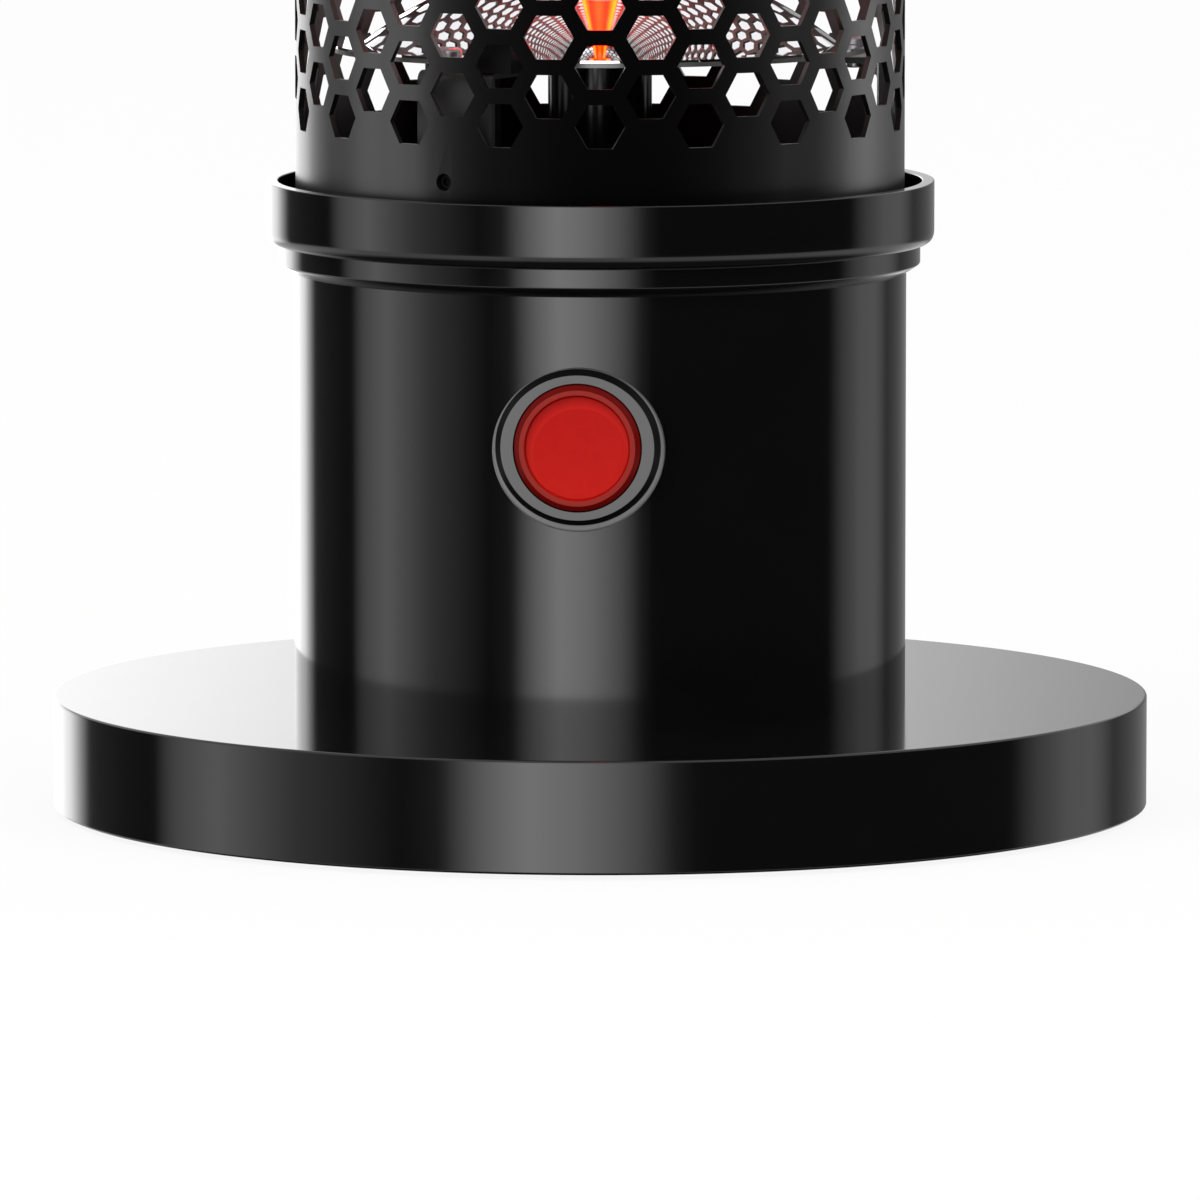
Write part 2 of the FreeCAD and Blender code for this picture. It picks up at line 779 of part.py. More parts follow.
# Reflectors: spun domes with a flat flange, bright side towards the lamp
dome_sphere = size("dome_sphere")
dome_inner = dome_sphere - size("reflector_thickness")
dome_centre = flange_top - side_of(dome_sphere, size("dome_rim"))
dome_bore = size("stem_radius") + size("dome_clearance")
throat = side_of(dome_inner, flange_bottom - dome_centre)


def reflector(label, level):
    centre = level(dome_centre)
    dome = turned(label, [
        Corner(dome_bore, level(dome_centre + side_of(dome_sphere, dome_bore)), None, dome_sphere, centre),
        Corner(size("dome_rim"), level(flange_top)),
        Corner(size("flange_radius"), level(flange_top)),
        Corner(size("flange_radius"), level(flange_bottom)),
        Corner(throat, level(flange_bottom), None, dome_inner, centre),
        Corner(dome_bore, level(dome_centre + side_of(dome_inner, dome_bore))),
    ])
    screw_x = spacer_circle.cos(leg_clock) - size("spacer_offset").sin(leg_clock)
    screw_y = spacer_circle.sin(leg_clock) + size("spacer_offset").cos(leg_clock)
    drill(dome, f"{label}_screw_holes", screw_x, screw_y, screw_hole, LEGS)
    drill_ring(dome, f"{label}_conduit_hole", size("conduit_circle"), conduit_clock, conduit_hole, 1)
    return dome


# The thermal cut-out sits on the front leg's upper foot, in a notch of the lower flange
gap = size("cutout_clearance")
cutout = box("thermal_cutout", size("cutout_depth"), size("cutout_width"), size("cutout_height"))
place_round(cutout, size("cutout_radial"), size("cutout_offset"), leg_top, leg_clock)
keep("thermal_cutout", cutout)
notch_width = size("cutout_width") + gap * 2
notch = box("flange_notch", size("cutout_depth") + overrun, notch_width, size("cutout_height") + gap)
place_round(notch, size("cutout_radial") - gap, size("cutout_offset") - gap, leg_top, leg_clock)
keep("lower_reflector", cut("lower_reflector", reflector("lower_dome", lower), [notch]))
keep("upper_reflector", reflector("upper_reflector", upper))

# Stems: shouldered tubes nutted through the decks; each holds a ceramic lamp holder on its end
stem_radius = size("stem_radius")
stem_inner = stem_radius - size("stem_wall")
holder_plug = stem_inner - hole_clearance
socket_radius = size("lamp_cap_radius") + size("lamp_clearance")
cup_radius = size("tube_radius") + size("lamp_clearance")
stem_nuts = []
for end, level, upright in (("lower", lower, OVER), ("upper", upper, FreeCAD.Rotation())):
    keep(f"{end}_stem", turned(f"{end}_stem", [
        Corner(stem_inner, level(guard_bottom - size("stem_tail"))),
        Corner(stem_radius, level(guard_bottom - size("stem_tail"))),
        Corner(stem_radius, level(deck_top)),
        Corner(size("shoulder_radius"), level(deck_top)),
        Corner(size("shoulder_radius"), level(deck_top + size("shoulder_height"))),
        Corner(stem_radius, level(deck_top + size("shoulder_height"))),
        Corner(stem_radius, level(stem_top)),
        Corner(stem_inner, level(stem_top)),
    ]))
    stem_hole = stem_radius + hole_clearance
    stem_nut = nut(f"stem_nut_{end}", size("stem_nut_radius"), stem_hole, size("stem_nut_height"))
    stem_nuts.append(place(stem_nut, z=level(guard_bottom), rotation=upright))
    keep(f"{end}_lamp_holder", turned(f"{end}_lamp_holder", [
        Corner(size("lead_hole"), level(stem_top - size("holder_spigot"))),
        Corner(holder_plug, level(stem_top - size("holder_spigot"))),
        Corner(holder_plug, level(stem_top)),
        Corner(stem_radius, level(stem_top)),
        Corner(stem_radius, level(holder_top), size("holder_edge")),
        Corner(socket_radius, level(holder_top)),
        Corner(socket_radius, level(lamp_bottom)),
        Corner(size("lead_hole"), level(lamp_bottom)),
    ]))
    cap_mouth = level(lamp_bottom + size("lamp_cap_length"))
    keep(f"{end}_lamp_cap", turned(f"{end}_lamp_cap", [
        Corner(ZERO, level(lamp_bottom)),
        Corner(size("lamp_cap_radius"), level(lamp_bottom)),
        Corner(size("lamp_cap_radius"), cap_mouth, size("holder_edge") * HALF),
        Corner(cup_radius, cap_mouth),
        Corner(cup_radius, level(tube_bottom)),
        Corner(ZERO, level(tube_bottom)),
    ]))
group("stem_nuts", stem_nuts)

# Lamp: a quartz tube with a woven carbon sleeve from cap to cap
tube_length = upper(tube_bottom) - tube_bottom
quartz = ring("quartz", size("tube_radius"), size("tube_radius") - size("tube_wall"), tube_length)
keep("quartz_tube", place(quartz, z=tube_bottom))
sleeve = ring("carbon", size("filament_radius"), size("filament_radius") - size("filament_wall"), tube_length)
keep("carbon_filament", place(sleeve, z=tube_bottom))

# Wire conduit behind the lamp, from deck to deck
conduit_bottom = guard_bottom - size("conduit_reach")
conduit = ring("conduit", size("conduit_radius"), size("conduit_radius") - size("conduit_wall"),
               upper(conduit_bottom) - conduit_bottom)
keep("wire_conduit", place(conduit, y=size("conduit_circle"), z=conduit_bottom))

# Push-button: saddle, bezel barrel, nut, lit cap on a sprung plunger, and the contact block behind
saddle_front = body_radius + size("saddle_proud")
bezel_front = saddle_front + size("bezel_thickness")
barrel_end = saddle_front - size("barrel_length")
barrel_floor = barrel_end + size("barrel_floor")
button_front = bezel_front + size("button_proud")
button_back = button_front - size("button_skirt")
plate_back = button_back - size("plunger_plate")
nut_front = side_of(body_inner, size("switch_nut_radius")) - size("sliding_gap")
saddle_back = side_of(body_radius, size("saddle_radius")) - overrun
guide_hole = size("plunger_radius") + size("sliding_gap")


def facing_front(obj):
    return place(obj, z=switch_z, rotation=FRONT)


saddle = facing_front(turned("saddle", [
    Corner(barrel_hole, saddle_back),
    Corner(size("saddle_radius"), saddle_back),
    Corner(size("saddle_radius"), saddle_front, size("saddle_edge")),
    Corner(barrel_hole, saddle_front),
]))
saddle_form = cylinder("saddle_form", body_radius, size("saddle_radius") * 4)
place(saddle_form, z=switch_z - size("saddle_radius") * 2)
keep("switch_saddle", cut("switch_saddle", saddle, [saddle_form]))

keep("switch_bezel", facing_front(turned("switch_bezel", [
    Corner(size("barrel_bore"), bezel_front),
    Corner(size("bezel_face"), bezel_front),
    Corner(size("bezel_radius"), saddle_front + size("bezel_rim")),
    Corner(size("bezel_radius"), saddle_front),
    Corner(size("barrel_radius"), saddle_front),
    Corner(size("barrel_radius"), barrel_end),
    Corner(guide_hole, barrel_end),
    Corner(guide_hole, barrel_floor),
    Corner(size("barrel_bore"), barrel_floor),
])))
nut_ring = turned("switch_nut", [
    Corner(size("barrel_radius") + hole_clearance, nut_front - size("switch_nut_height")),
    Corner(size("switch_nut_radius"), nut_front - size("switch_nut_height")),
    Corner(size("switch_nut_radius"), nut_front),
    Corner(size("barrel_radius") + hole_clearance, nut_front),
])
keep("switch_nut", facing_front(nut_ring))

button_ring = size("button_radius") - size("button_ring")
button_hollow = size("button_radius") - size("button_wall")
dish_edge = button_front - size("button_dish")
keep("button_cap", facing_front(turned("button_cap", [
    Corner(button_hollow, button_back),
    Corner(size("button_radius"), button_back),
    Corner(size("button_radius"), button_front, size("button_edge")),
    Corner(button_ring, button_front),
    Corner(button_ring - size("button_dish"), dish_edge),
    Corner(ZERO, dish_edge - size("button_dish") * HALF),
    Corner(ZERO, dish_edge - size("button_wall")),
    Corner(button_hollow, dish_edge - size("button_wall")),
])))
keep("button_plunger", facing_front(turned("button_plunger", [
    Corner(ZERO, barrel_end - size("plunger_tip")),
    Corner(size("plunger_radius"), barrel_end - size("plunger_tip")),
    Corner(size("plunger_radius"), plate_back),
    Corner(size("plunger_plate_radius"), plate_back),
    Corner(size("plunger_plate_radius"), button_back),
    Corner(ZERO, button_back),
])))
spring_inner = size("plunger_radius") + size("spring_gap")
keep("button_spring", facing_front(turned("button_spring", [
    Corner(spring_inner, barrel_floor),
    Corner(spring_inner + size("spring_wire"), barrel_floor),
    Corner(spring_inner + size("spring_wire"), plate_back),
    Corner(spring_inner, plate_back),
])))
keep("indicator_lamp", facing_front(turned("indicator_lamp", [
    Corner(ZERO, button_back),
    Corner(size("indicator_radius"), button_back),
    Corner(size("indicator_radius"), button_back + size("indicator_height"), size("saddle_edge")),
    Corner(ZERO, button_back + size("indicator_height")),
])))

contact_front = barrel_end - size("plunger_tip") - size("button_travel") - size("sliding_gap")
contact_back = contact_front - size("contact_depth")
arm_length = barrel_end - contact_front
contact_half = size("contact_width") * HALF
contact_low = switch_z - size("contact_height") * HALF
contact_body = box("contact_body", size("contact_width"), size("contact_depth"), size("contact_height"))
place(contact_body, -contact_half, -contact_front, contact_low)
arms = []
for name, start in (("left", -contact_half), ("right", contact_half - size("contact_arm"))):
    arm = box(f"contact_arm_{name}", size("contact_arm"), arm_length, size("contact_height"))
    arms.append(place(arm, start, -barrel_end, contact_low))
keep("contact_block", fuse("contact_block", [contact_body, *arms]))

blades = []
for name, middle in (("left", -size("terminal_spread")), ("right", size("terminal_spread"))):
    blade = box(f"blade_{name}", size("terminal_thickness"), size("terminal_length"), size("terminal_width"))
    blade_low = switch_z - size("terminal_width") * HALF
    blades.append(place(blade, middle - size("terminal_thickness") * HALF, -contact_back, blade_low))
group("switch_terminals", blades)

# Tip-over switch: a pendulum on a pin between two cheeks, with its contact above
tip_x = size("tip_x")
tip_y = size("tip_y")
tip_sheet = size("tip_sheet")
tip_half = size("tip_width") * HALF
tip_left = tip_x - tip_half
tip_right = tip_x + tip_half
pivot_z = pan_top + size("tip_pivot_rise")
contact_z = pivot_z + size("finger_height") + size("sliding_gap") + size("nub_height")
cheek_height = contact_z + size("tip_switch_height") - pan_top
pin_hole = size("tip_pin_radius") + size("running_clearance")
tip_base = place(box("tip_base", size("tip_width"), size("tip_depth"), tip_sheet),
                 tip_left, tip_y - size("tip_depth") * HALF, pan_top)
cheeks = []
for name, start in (("left", tip_left), ("right", tip_right - tip_sheet)):
    cheek = box(f"cheek_{name}", tip_sheet, size("tip_switch_depth"), cheek_height)
    cheeks.append(place(cheek, start, tip_y - size("tip_switch_depth") * HALF, pan_top))
cheek_bore = cylinder("cheek_bore", pin_hole, size("tip_width") + overrun * 2)
place(cheek_bore, tip_left - overrun, tip_y, pivot_z, ALONG_X)
keep("tip_bracket", cut("tip_bracket", fuse("tip_frame", [tip_base, *cheeks]), [cheek_bore]))

pin_length = size("tip_width") + size("tip_pin_overhang") * 2
tip_pin = cylinder("tip_pin", size("tip_pin_radius"), pin_length)
keep("tip_pin", place(tip_pin, tip_left - size("tip_pin_overhang"), tip_y, pivot_z, ALONG_X))

hub = cylinder("hub", size("hub_radius"), size("hub_length"))
place(hub, tip_x - size("hub_length") * HALF, tip_y, pivot_z, ALONG_X)
bob = cylinder("bob", size("bob_radius"), size("bob_length"))
place(bob, tip_x - size("bob_length") * HALF, tip_y, pivot_z - size("bob_drop"), ALONG_X)
rod = box("pendulum_rod", size("arm_width"), size("arm_thickness"), size("bob_drop") + size("finger_height"))
place(rod, tip_x - size("arm_width") * HALF, tip_y - size("arm_thickness") * HALF, pivot_z - size("bob_drop"))
hub_bore = cylinder("hub_bore", pin_hole, size("tip_width"))
place(hub_bore, tip_left, tip_y, pivot_z, ALONG_X)
keep("tip_pendulum", cut("tip_pendulum", fuse("pendulum", [hub, bob, rod]), [hub_bore]))

between_cheeks = size("tip_width") - tip_sheet * 2
tip_contact = box("tip_contact", between_cheeks, size("tip_switch_depth"), size("tip_switch_height"))
place(tip_contact, tip_left + tip_sheet, tip_y - size("tip_switch_depth") * HALF, contact_z)
nub = cylinder("tip_nub", size("nub_radius"), size("nub_height"))
place(nub, tip_x, tip_y, contact_z - size("nub_height"))
keep("tip_switch", fuse("tip_switch", [tip_contact, nub]))

# Terminal block on the floor of the body, its screws, and the earth screw
block_top = pan_top + size("terminal_block_height")
terminal_block = box("terminal_block", size("terminal_block_length"), size("terminal_block_depth"),
                     size("terminal_block_height"))
place(terminal_block, -size("terminal_block_length") * HALF, size("terminal_block_front"), pan_top)
keep("terminal_block", terminal_block)
block_screws = []
for number in range(BLOCK_SCREWS):
    head = cylinder(f"block_screw_{number}", size("block_screw_radius"), size("block_screw_height"))
    column = size("block_screw_pitch") * (number - (BLOCK_SCREWS - 1) * HALF)
    block_screws.append(place(head, column, size("block_screw_row"), block_top))
group("terminal_screws", block_screws)
earth = screw("earth_screw", size("screw_radius"), size("base_wall") * 2, size("screw_head_radius"),
              size("screw_head_height"))
keep("earth_screw", place(earth, earth_x, earth_y, pan_top))

# Cord gland at the back of the body, held by a nut inside
gland_seat = body_radius + hole_clearance * HALF
gland_shoulder = gland_seat + size("gland_flange_height")
gland_tip = gland_shoulder + size("gland_nose_length")
gland_end = gland_seat - size("gland_neck_length")
gland = turned("cord_gland", [
    Corner(size("gland_bore"), gland_end),
    Corner(size("gland_neck"), gland_end),
    Corner(size("gland_neck"), gland_seat),
    Corner(size("gland_flange"), gland_seat),
    Corner(size("gland_flange"), gland_shoulder, size("gland_edge")),
    Corner(size("gland_nose"), gland_shoulder),
    Corner(size("gland_nose"), gland_tip, size("gland_edge")),
    Corner(size("gland_bore"), gland_tip),
])
keep("cord_gland", place(gland, z=gland_z, rotation=BACK))
gland_nut_front = side_of(body_inner, size("gland_flange")) - hole_clearance
gland_nut_bore = size("gland_neck") + hole_clearance
gland_nut = nut("gland_nut", size("gland_flange"), gland_nut_bore, size("gland_nut_height"))
place(gland_nut, y=gland_nut_front - size("gland_nut_height"), z=gland_z, rotation=BACK)
keep("gland_nut", gland_nut)


def wire_along(label, points):
    """An insulated wire through points, straight between them and bent to one radius at each corner."""
    bend = size("wire_bend").number
    edges = []
    start = points[0]
    for before, corner, after in zip(points, points[1:], points[2:]):
        inward = (corner - before).normalize()
        outward = (after - corner).normalize()
        arc_start = corner - inward * bend
        arc_end = corner + outward * bend
        centre = arc_start + outward * bend
        towards = (corner - centre).normalize()
        edges.append(Part.LineSegment(start, arc_start).toShape())
        edges.append(Part.Arc(arc_start, centre + towards * bend, arc_end).toShape())
        start = arc_end
    edges.append(Part.LineSegment(start, points[-1]).toShape())
    path = Part.Wire(edges)
    heading = points[1] - points[0]
    section = Part.Wire(Part.makeCircle(size("wire_radius").number, points[0], heading))
    wire = doc.addObject("Part::Feature", label)
    wire.Shape = path.makePipeShell([section], True, False)
    return wire


# Leads: from the terminal block to the button, to the lower lamp cap and through the conduit to the upper one
lead_end = lamp_bottom
lower_lead = cylinder("lower_lead", size("wire_radius"), lead_end - block_top)
keep("lower_lead", place(lower_lead, z=block_top))
conduit_y = size("conduit_circle").number
row_y = size("upper_wire_row").number
turn_z = (pan_top + size("upper_wire_turn")).number
cap_z = (upper(guard_bottom) + size("cap_wire_height")).number
keep("upper_lead", wire_along("upper_lead", [
    vector(0, row_y, block_top.number),
    vector(0, row_y, turn_z),
    vector(0, conduit_y, turn_z),
    vector(0, conduit_y, cap_z),
    vector(0, 0, cap_z),
    vector(0, 0, upper(lead_end).number),
]))
leads = []
blade_end = (-contact_back + size("terminal_length")).number
for name, side in (("left", -1), ("right", 1)):
    column = side * size("terminal_spread").number
    leads.append(wire_along(f"switch_lead_{name}", [
        vector(column, blade_end, switch_z.number),
        vector(column, 0, switch_z.number),
        vector(column, 0, block_top.number),
    ]))
group("switch_leads", leads)


def hex_tool(angle, z):
    """A radial prism that punches one hexagon, flat side up, through the guard."""
    corner = size("hex_flats").number / math.sqrt(3)
    start = guard_inner.number - overrun.number
    corners = []
    for number in range(HEX_SIDES + 1):
        bearing = math.radians(FULL_TURN * number / HEX_SIDES)
        corners.append(vector(start, corner * math.cos(bearing), z + corner * math.sin(bearing)))
    reach = size("guard_wall").number + overrun.number * 2
    prism = Part.Face(Part.makePolygon(corners)).extrude(vector(reach, 0, 0))
    prism.rotate(vector(0, 0, 0), vector(0, 0, 1), angle)
    return prism


# Guard: a perforated sheet rolled to a tube, in upright strips that meet along every second column
column_step = FULL_TURN / HEX_COLUMNS
strip_step = column_step * 2
first_column = size("guard_clock").number - FULL_TURN / 4
low_z = guard_bottom.number
tall = guard_height.number
axis = vector(0, 0, 1)
strip = Part.makeCylinder(guard_radius.number, tall, vector(0, 0, low_z), axis, strip_step)
strip = strip.cut(Part.makeCylinder(guard_inner.number, tall, vector(0, 0, low_z), axis, strip_step))
punches = []
for column in range(3):
    staggered = column % 2
    first_z = low_z + size("first_hex_rise").number + staggered * size("hex_pitch").number * HALF
    for number in range(HEX_ROWS - staggered):
        punches.append(hex_tool(column * column_step, first_z + number * size("hex_pitch").number))
strip = strip.cut(punches)
screw_tools = []
for number in range(LEGS):
    bearing = math.radians(leg_clock.number + FULL_TURN * number / LEGS)
    outwards = vector(math.cos(bearing), math.sin(bearing), 0)
    for level in (lower, upper):
        start = outwards * leg_inner.number + vector(0, 0, level(guard_screw_z).number)
        screw_tools.append(Part.makeCylinder(screw_hole.number, size("leg_foot").number, start, outwards))
strips = []
for number in range(HEX_COLUMNS // 2):
    copy = strip.copy()
    copy.rotate(vector(0, 0, 0), axis, first_column + number * strip_step)
    for tool in screw_tools:
        if copy.BoundBox.intersect(tool.BoundBox) and copy.common(tool).Volume > 0:
            copy = copy.cut(tool)
    strips.extend(copy.Solids)
guard = doc.addObject("Part::Feature", "guard")
guard.Shape = Part.makeCompound(strips)
keep("guard", guard)

# Every object has to be sound before anything is written
doc.recompute()
for obj in doc.Objects:
    if "Invalid" in obj.State or "Error" in obj.State:
        raise RuntimeError(f"{obj.Label} failed: {obj.State}")
for label, obj in nodes.items():
    if obj.Shape.isNull() or not obj.Shape.isValid():
        raise RuntimeError(f"{label} has no valid shape")
os.makedirs("parts", exist_ok=True)
for label, obj in nodes.items():
    obj.Shape.exportStep(f"parts/{label}.step")
print(len(nodes), "sub-parts written, overall height", round(cap_top.number, 1), "mm")
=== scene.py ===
import math
import bmesh
import bpy
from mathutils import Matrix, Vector


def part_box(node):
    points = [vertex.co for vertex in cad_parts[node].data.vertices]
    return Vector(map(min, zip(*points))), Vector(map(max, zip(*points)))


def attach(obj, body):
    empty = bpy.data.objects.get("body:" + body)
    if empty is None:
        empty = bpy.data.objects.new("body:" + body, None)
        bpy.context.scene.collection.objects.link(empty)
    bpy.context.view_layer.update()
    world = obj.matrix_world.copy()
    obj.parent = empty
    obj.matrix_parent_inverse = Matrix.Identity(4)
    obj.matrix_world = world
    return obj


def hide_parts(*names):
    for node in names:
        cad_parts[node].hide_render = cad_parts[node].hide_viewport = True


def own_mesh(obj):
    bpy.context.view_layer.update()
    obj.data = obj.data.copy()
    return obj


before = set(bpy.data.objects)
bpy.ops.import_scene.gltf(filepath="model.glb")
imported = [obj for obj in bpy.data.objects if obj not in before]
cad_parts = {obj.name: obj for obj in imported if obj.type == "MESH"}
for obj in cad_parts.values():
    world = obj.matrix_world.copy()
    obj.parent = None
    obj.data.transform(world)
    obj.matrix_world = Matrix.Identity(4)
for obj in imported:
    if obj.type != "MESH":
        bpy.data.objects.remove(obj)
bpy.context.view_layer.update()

# Base: a spun steel pan over a cast ballast plate, closed below by a sheet and standing on rubber feet.
# The pan is sprayed with gloss black enamel, so its flat top mirrors the body that stands on it.
mm = 0.001


def add_node(tree, kind, inputs=None, **options):
    """A new node of this kind, with its options set and each input given a value or linked to a socket."""
    node = tree.nodes.new(kind)
    for option, value in options.items():
        setattr(node, option, value)
    for key, value in (inputs or {}).items():
        if isinstance(value, bpy.types.NodeSocket):
            tree.links.new(value, node.inputs[key])
        else:
            node.inputs[key].default_value = value
    return node


def calc(tree, operation, first, second=0.0):
    """The output of a Math node on two numbers or sockets."""
    return add_node(tree, "ShaderNodeMath", {0: first, 1: second}, operation=operation).outputs[0]


def new_group(name, kind, takes, gives):
    """An empty node group with these named sockets, and the outputs of its input node."""
    group = bpy.data.node_groups.new(name, kind)
    for label, socket in takes.items():
        group.interface.new_socket(label, in_out="INPUT", socket_type="NodeSocket" + socket)
    for label, socket in gives.items():
        group.interface.new_socket(label, in_out="OUTPUT", socket_type="NodeSocket" + socket)
    return group, add_node(group, "NodeGroupInput").outputs


# Fine grain: the uneven colour and gloss and the slight relief of a sprayed, moulded or cast surface
grain_group, given = new_group(
    "fine_grain", "ShaderNodeTree",
    {"Grain": "Float", "Patch": "Float", "Colour": "Color", "Shade": "Color", "Gloss": "Float", "Spread": "Float"},
    {"Colour": "Color", "Roughness": "Float", "Height": "Float"})
place = add_node(grain_group, "ShaderNodeTexCoord").outputs["Object"]
fine = add_node(grain_group, "ShaderNodeTexNoise",
                {"Vector": place, "Scale": calc(grain_group, "DIVIDE", 1.0, given["Grain"]), "Detail": 2.0})
broad = add_node(grain_group, "ShaderNodeTexNoise",
                 {"Vector": place, "Scale": calc(grain_group, "DIVIDE", 1.0, given["Patch"]), "Detail": 4.0})
mix = add_node(grain_group, "ShaderNodeMix",
               {"Factor": broad.outputs[0], "A": given["Colour"], "B": given["Shade"]}, data_type="RGBA")
uneven = calc(grain_group, "MULTIPLY", calc(grain_group, "SUBTRACT", broad.outputs[0], 0.5), given["Spread"])
add_node(grain_group, "NodeGroupOutput", {
    "Colour": mix.outputs["Result"],
    "Roughness": calc(grain_group, "ADD", given["Gloss"], uneven),
    "Height": fine.outputs[0]})


def grained(name, colour, shade, gloss, spread, grain, depth, patch=25 * mm, plain=None):
    """A material with the fine grain on its colour, roughness and relief, and plain values on other sockets."""
    material = bpy.data.materials.new(name)
    material.use_nodes = True
    tree = material.node_tree
    shader = tree.nodes["Principled BSDF"]
    for socket, value in (plain or {}).items():
        shader.inputs[socket].default_value = value
    made = add_node(tree, "ShaderNodeGroup", node_tree=grain_group)
    for label, value in (("Grain", grain), ("Patch", patch), ("Colour", (*colour, 1)), ("Shade", (*shade, 1)),
                         ("Gloss", gloss), ("Spread", spread)):
        made.inputs[label].default_value = value
    bump = add_node(tree, "ShaderNodeBump", {"Height": made.outputs["Height"], "Distance": depth})
    tree.links.new(made.outputs["Colour"], shader.inputs["Base Color"])
    tree.links.new(made.outputs["Roughness"], shader.inputs["Roughness"])
    tree.links.new(bump.outputs[0], shader.inputs["Normal"])
    return material


def paint(material, *nodes):
    """Gives CAD nodes this finish."""
    for node in nodes:
        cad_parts[node].material_slots[0].material = material


gloss_enamel = grained("gloss_enamel", (0.0022, 0.0022, 0.0023), (0.003, 0.003, 0.0031),
                       gloss=0.1, spread=0.03, grain=0.5 * mm, depth=0.0006 * mm)
zinc_plate = grained("zinc_plate", (0.5, 0.5, 0.51), (0.38, 0.38, 0.4), gloss=0.34, spread=0.2,
                     grain=0.4 * mm, depth=0.004 * mm, patch=6 * mm, plain={"Metallic": 1.0})
cast_iron = grained("cast_iron", (0.05, 0.05, 0.052), (0.09, 0.085, 0.08), gloss=0.7, spread=0.2,
                    grain=0.8 * mm, depth=0.15 * mm, plain={"Metallic": 0.6})
paint(gloss_enamel, "base_cover")
paint(zinc_plate, "bottom_plate", "base_posts", "tie_rods", "rod_nuts")
paint(cast_iron, "ballast_plate")

# Rubber feet: four pads of matt black rubber, moulded with a grip groove and a sunk middle.
# Each is pushed into a hole of the bottom plate.


def upright(radius, height, angle):
    """A point of a piece turned about the Z axis."""
    return Vector((radius * math.cos(angle), radius * math.sin(angle), height))


def softened(profile, points=6):
    """The points of a profile, with an arc drawn at each corner that has a rounding."""
    drawn = []
    for number, (radius, height, rounding) in enumerate(profile):
        corner = Vector((radius, height))
        if rounding == 0:
            drawn.append(corner)
            continue
        before = Vector(profile[number - 1][:2])
        after = Vector(profile[(number + 1) % len(profile)][:2])
        start = corner + (before - corner).normalized() * rounding
        finish = corner + (after - corner).normalized() * rounding
        drawn.append(start.lerp(before, 0.08))
        for step in range(points + 1):
            share = step / points
            drawn.append(start.lerp(corner, share).lerp(corner.lerp(finish, share), share))
        drawn.append(finish.lerp(after, 0.08))
    return drawn


def turned(name, profile, steps, shape=upright):
    """A closed piece turned from a profile of (radius, height, rounding) in mm; shape places its points."""
    work = bmesh.new()
    rings = []
    for radius, height in softened(profile):
        angles = [math.tau * step / steps for step in range(steps)]
        rings.append([work.verts.new(shape(radius * mm, height * mm, angle)) for angle in angles])
    for near, far in zip(rings, rings[1:] + rings[:1]):
        for step in range(steps):
            beside = (step + 1) % steps
            work.faces.new((near[step], near[beside], far[beside], far[step]))
    bmesh.ops.remove_doubles(work, verts=work.verts, dist=0.001 * mm)
    bmesh.ops.recalc_face_normals(work, faces=work.faces)
    mesh = bpy.data.meshes.new(name)
    work.to_mesh(mesh)
    work.free()
    mesh.shade_smooth()
    mesh.set_sharp_from_angle(angle=math.radians(35))
    piece = bpy.data.objects.new(name, mesh)
    bpy.context.scene.collection.objects.link(piece)
    return piece


def at(tree, x, y, z=0.0):
    """A vector of three numbers or sockets."""
    return add_node(tree, "ShaderNodeCombineXYZ", {0: x, 1: y, 2: z}).outputs[0]


# A ring of like pieces about the Z axis, and if wanted the same ring mirrored to the heater's other end
ring_tree, given = new_group(
    "ring_of_pieces", "GeometryNodeTree",
    {"Piece": "Object", "Count": "Int", "Circle": "Float", "Sideways": "Float", "Clock": "Float", "Level": "Float",
     "Tilt": "Float", "Both Ends": "Bool", "Middle": "Float", "Material": "Material"},
    {"Ring": "Geometry"})
line = add_node(ring_tree, "GeometryNodeMeshLine", {"Count": given["Count"]})
number = add_node(ring_tree, "GeometryNodeInputIndex").outputs[0]
turn = calc(ring_tree, "ADD", given["Clock"],
            calc(ring_tree, "MULTIPLY", number, calc(ring_tree, "DIVIDE", math.tau, given["Count"])))
along, across = calc(ring_tree, "COSINE", turn), calc(ring_tree, "SINE", turn)
spots = add_node(ring_tree, "GeometryNodeSetPosition", {
    "Geometry": line.outputs[0],
    "Position": at(ring_tree,
                   calc(ring_tree, "SUBTRACT", calc(ring_tree, "MULTIPLY", given["Circle"], along),
                        calc(ring_tree, "MULTIPLY", given["Sideways"], across)),
                   calc(ring_tree, "ADD", calc(ring_tree, "MULTIPLY", given["Circle"], across),
                        calc(ring_tree, "MULTIPLY", given["Sideways"], along)),
                   given["Level"])})
model = add_node(ring_tree, "GeometryNodeObjectInfo", {"Object": given["Piece"]})
copies = add_node(ring_tree, "GeometryNodeInstanceOnPoints",
                  {"Points": spots.outputs[0], "Instance": model.outputs["Geometry"],
                   "Rotation": at(ring_tree, 0.0, given["Tilt"], turn)})
near_end = add_node(ring_tree, "GeometryNodeRealizeInstances", {0: copies.outputs[0]})
mirrored = add_node(ring_tree, "GeometryNodeTransform",
                    {"Geometry": near_end.outputs[0], "Scale": (1, 1, -1),
                     "Translation": at(ring_tree, 0.0, 0.0, calc(ring_tree, "MULTIPLY", given["Middle"], 2.0))})
far_end = add_node(ring_tree, "GeometryNodeSwitch",
                   {"Switch": given["Both Ends"],
                    "True": add_node(ring_tree, "GeometryNodeFlipFaces", {0: mirrored.outputs[0]}).outputs[0]},
                   input_type="GEOMETRY")
both = add_node(ring_tree, "GeometryNodeJoinGeometry", {0: near_end.outputs[0]})
ring_tree.links.new(far_end.outputs[0], both.inputs[0])
finished = add_node(ring_tree, "GeometryNodeSetMaterial", {0: both.outputs[0], "Material": given["Material"]})
add_node(ring_tree, "NodeGroupOutput", {0: finished.outputs[0]})


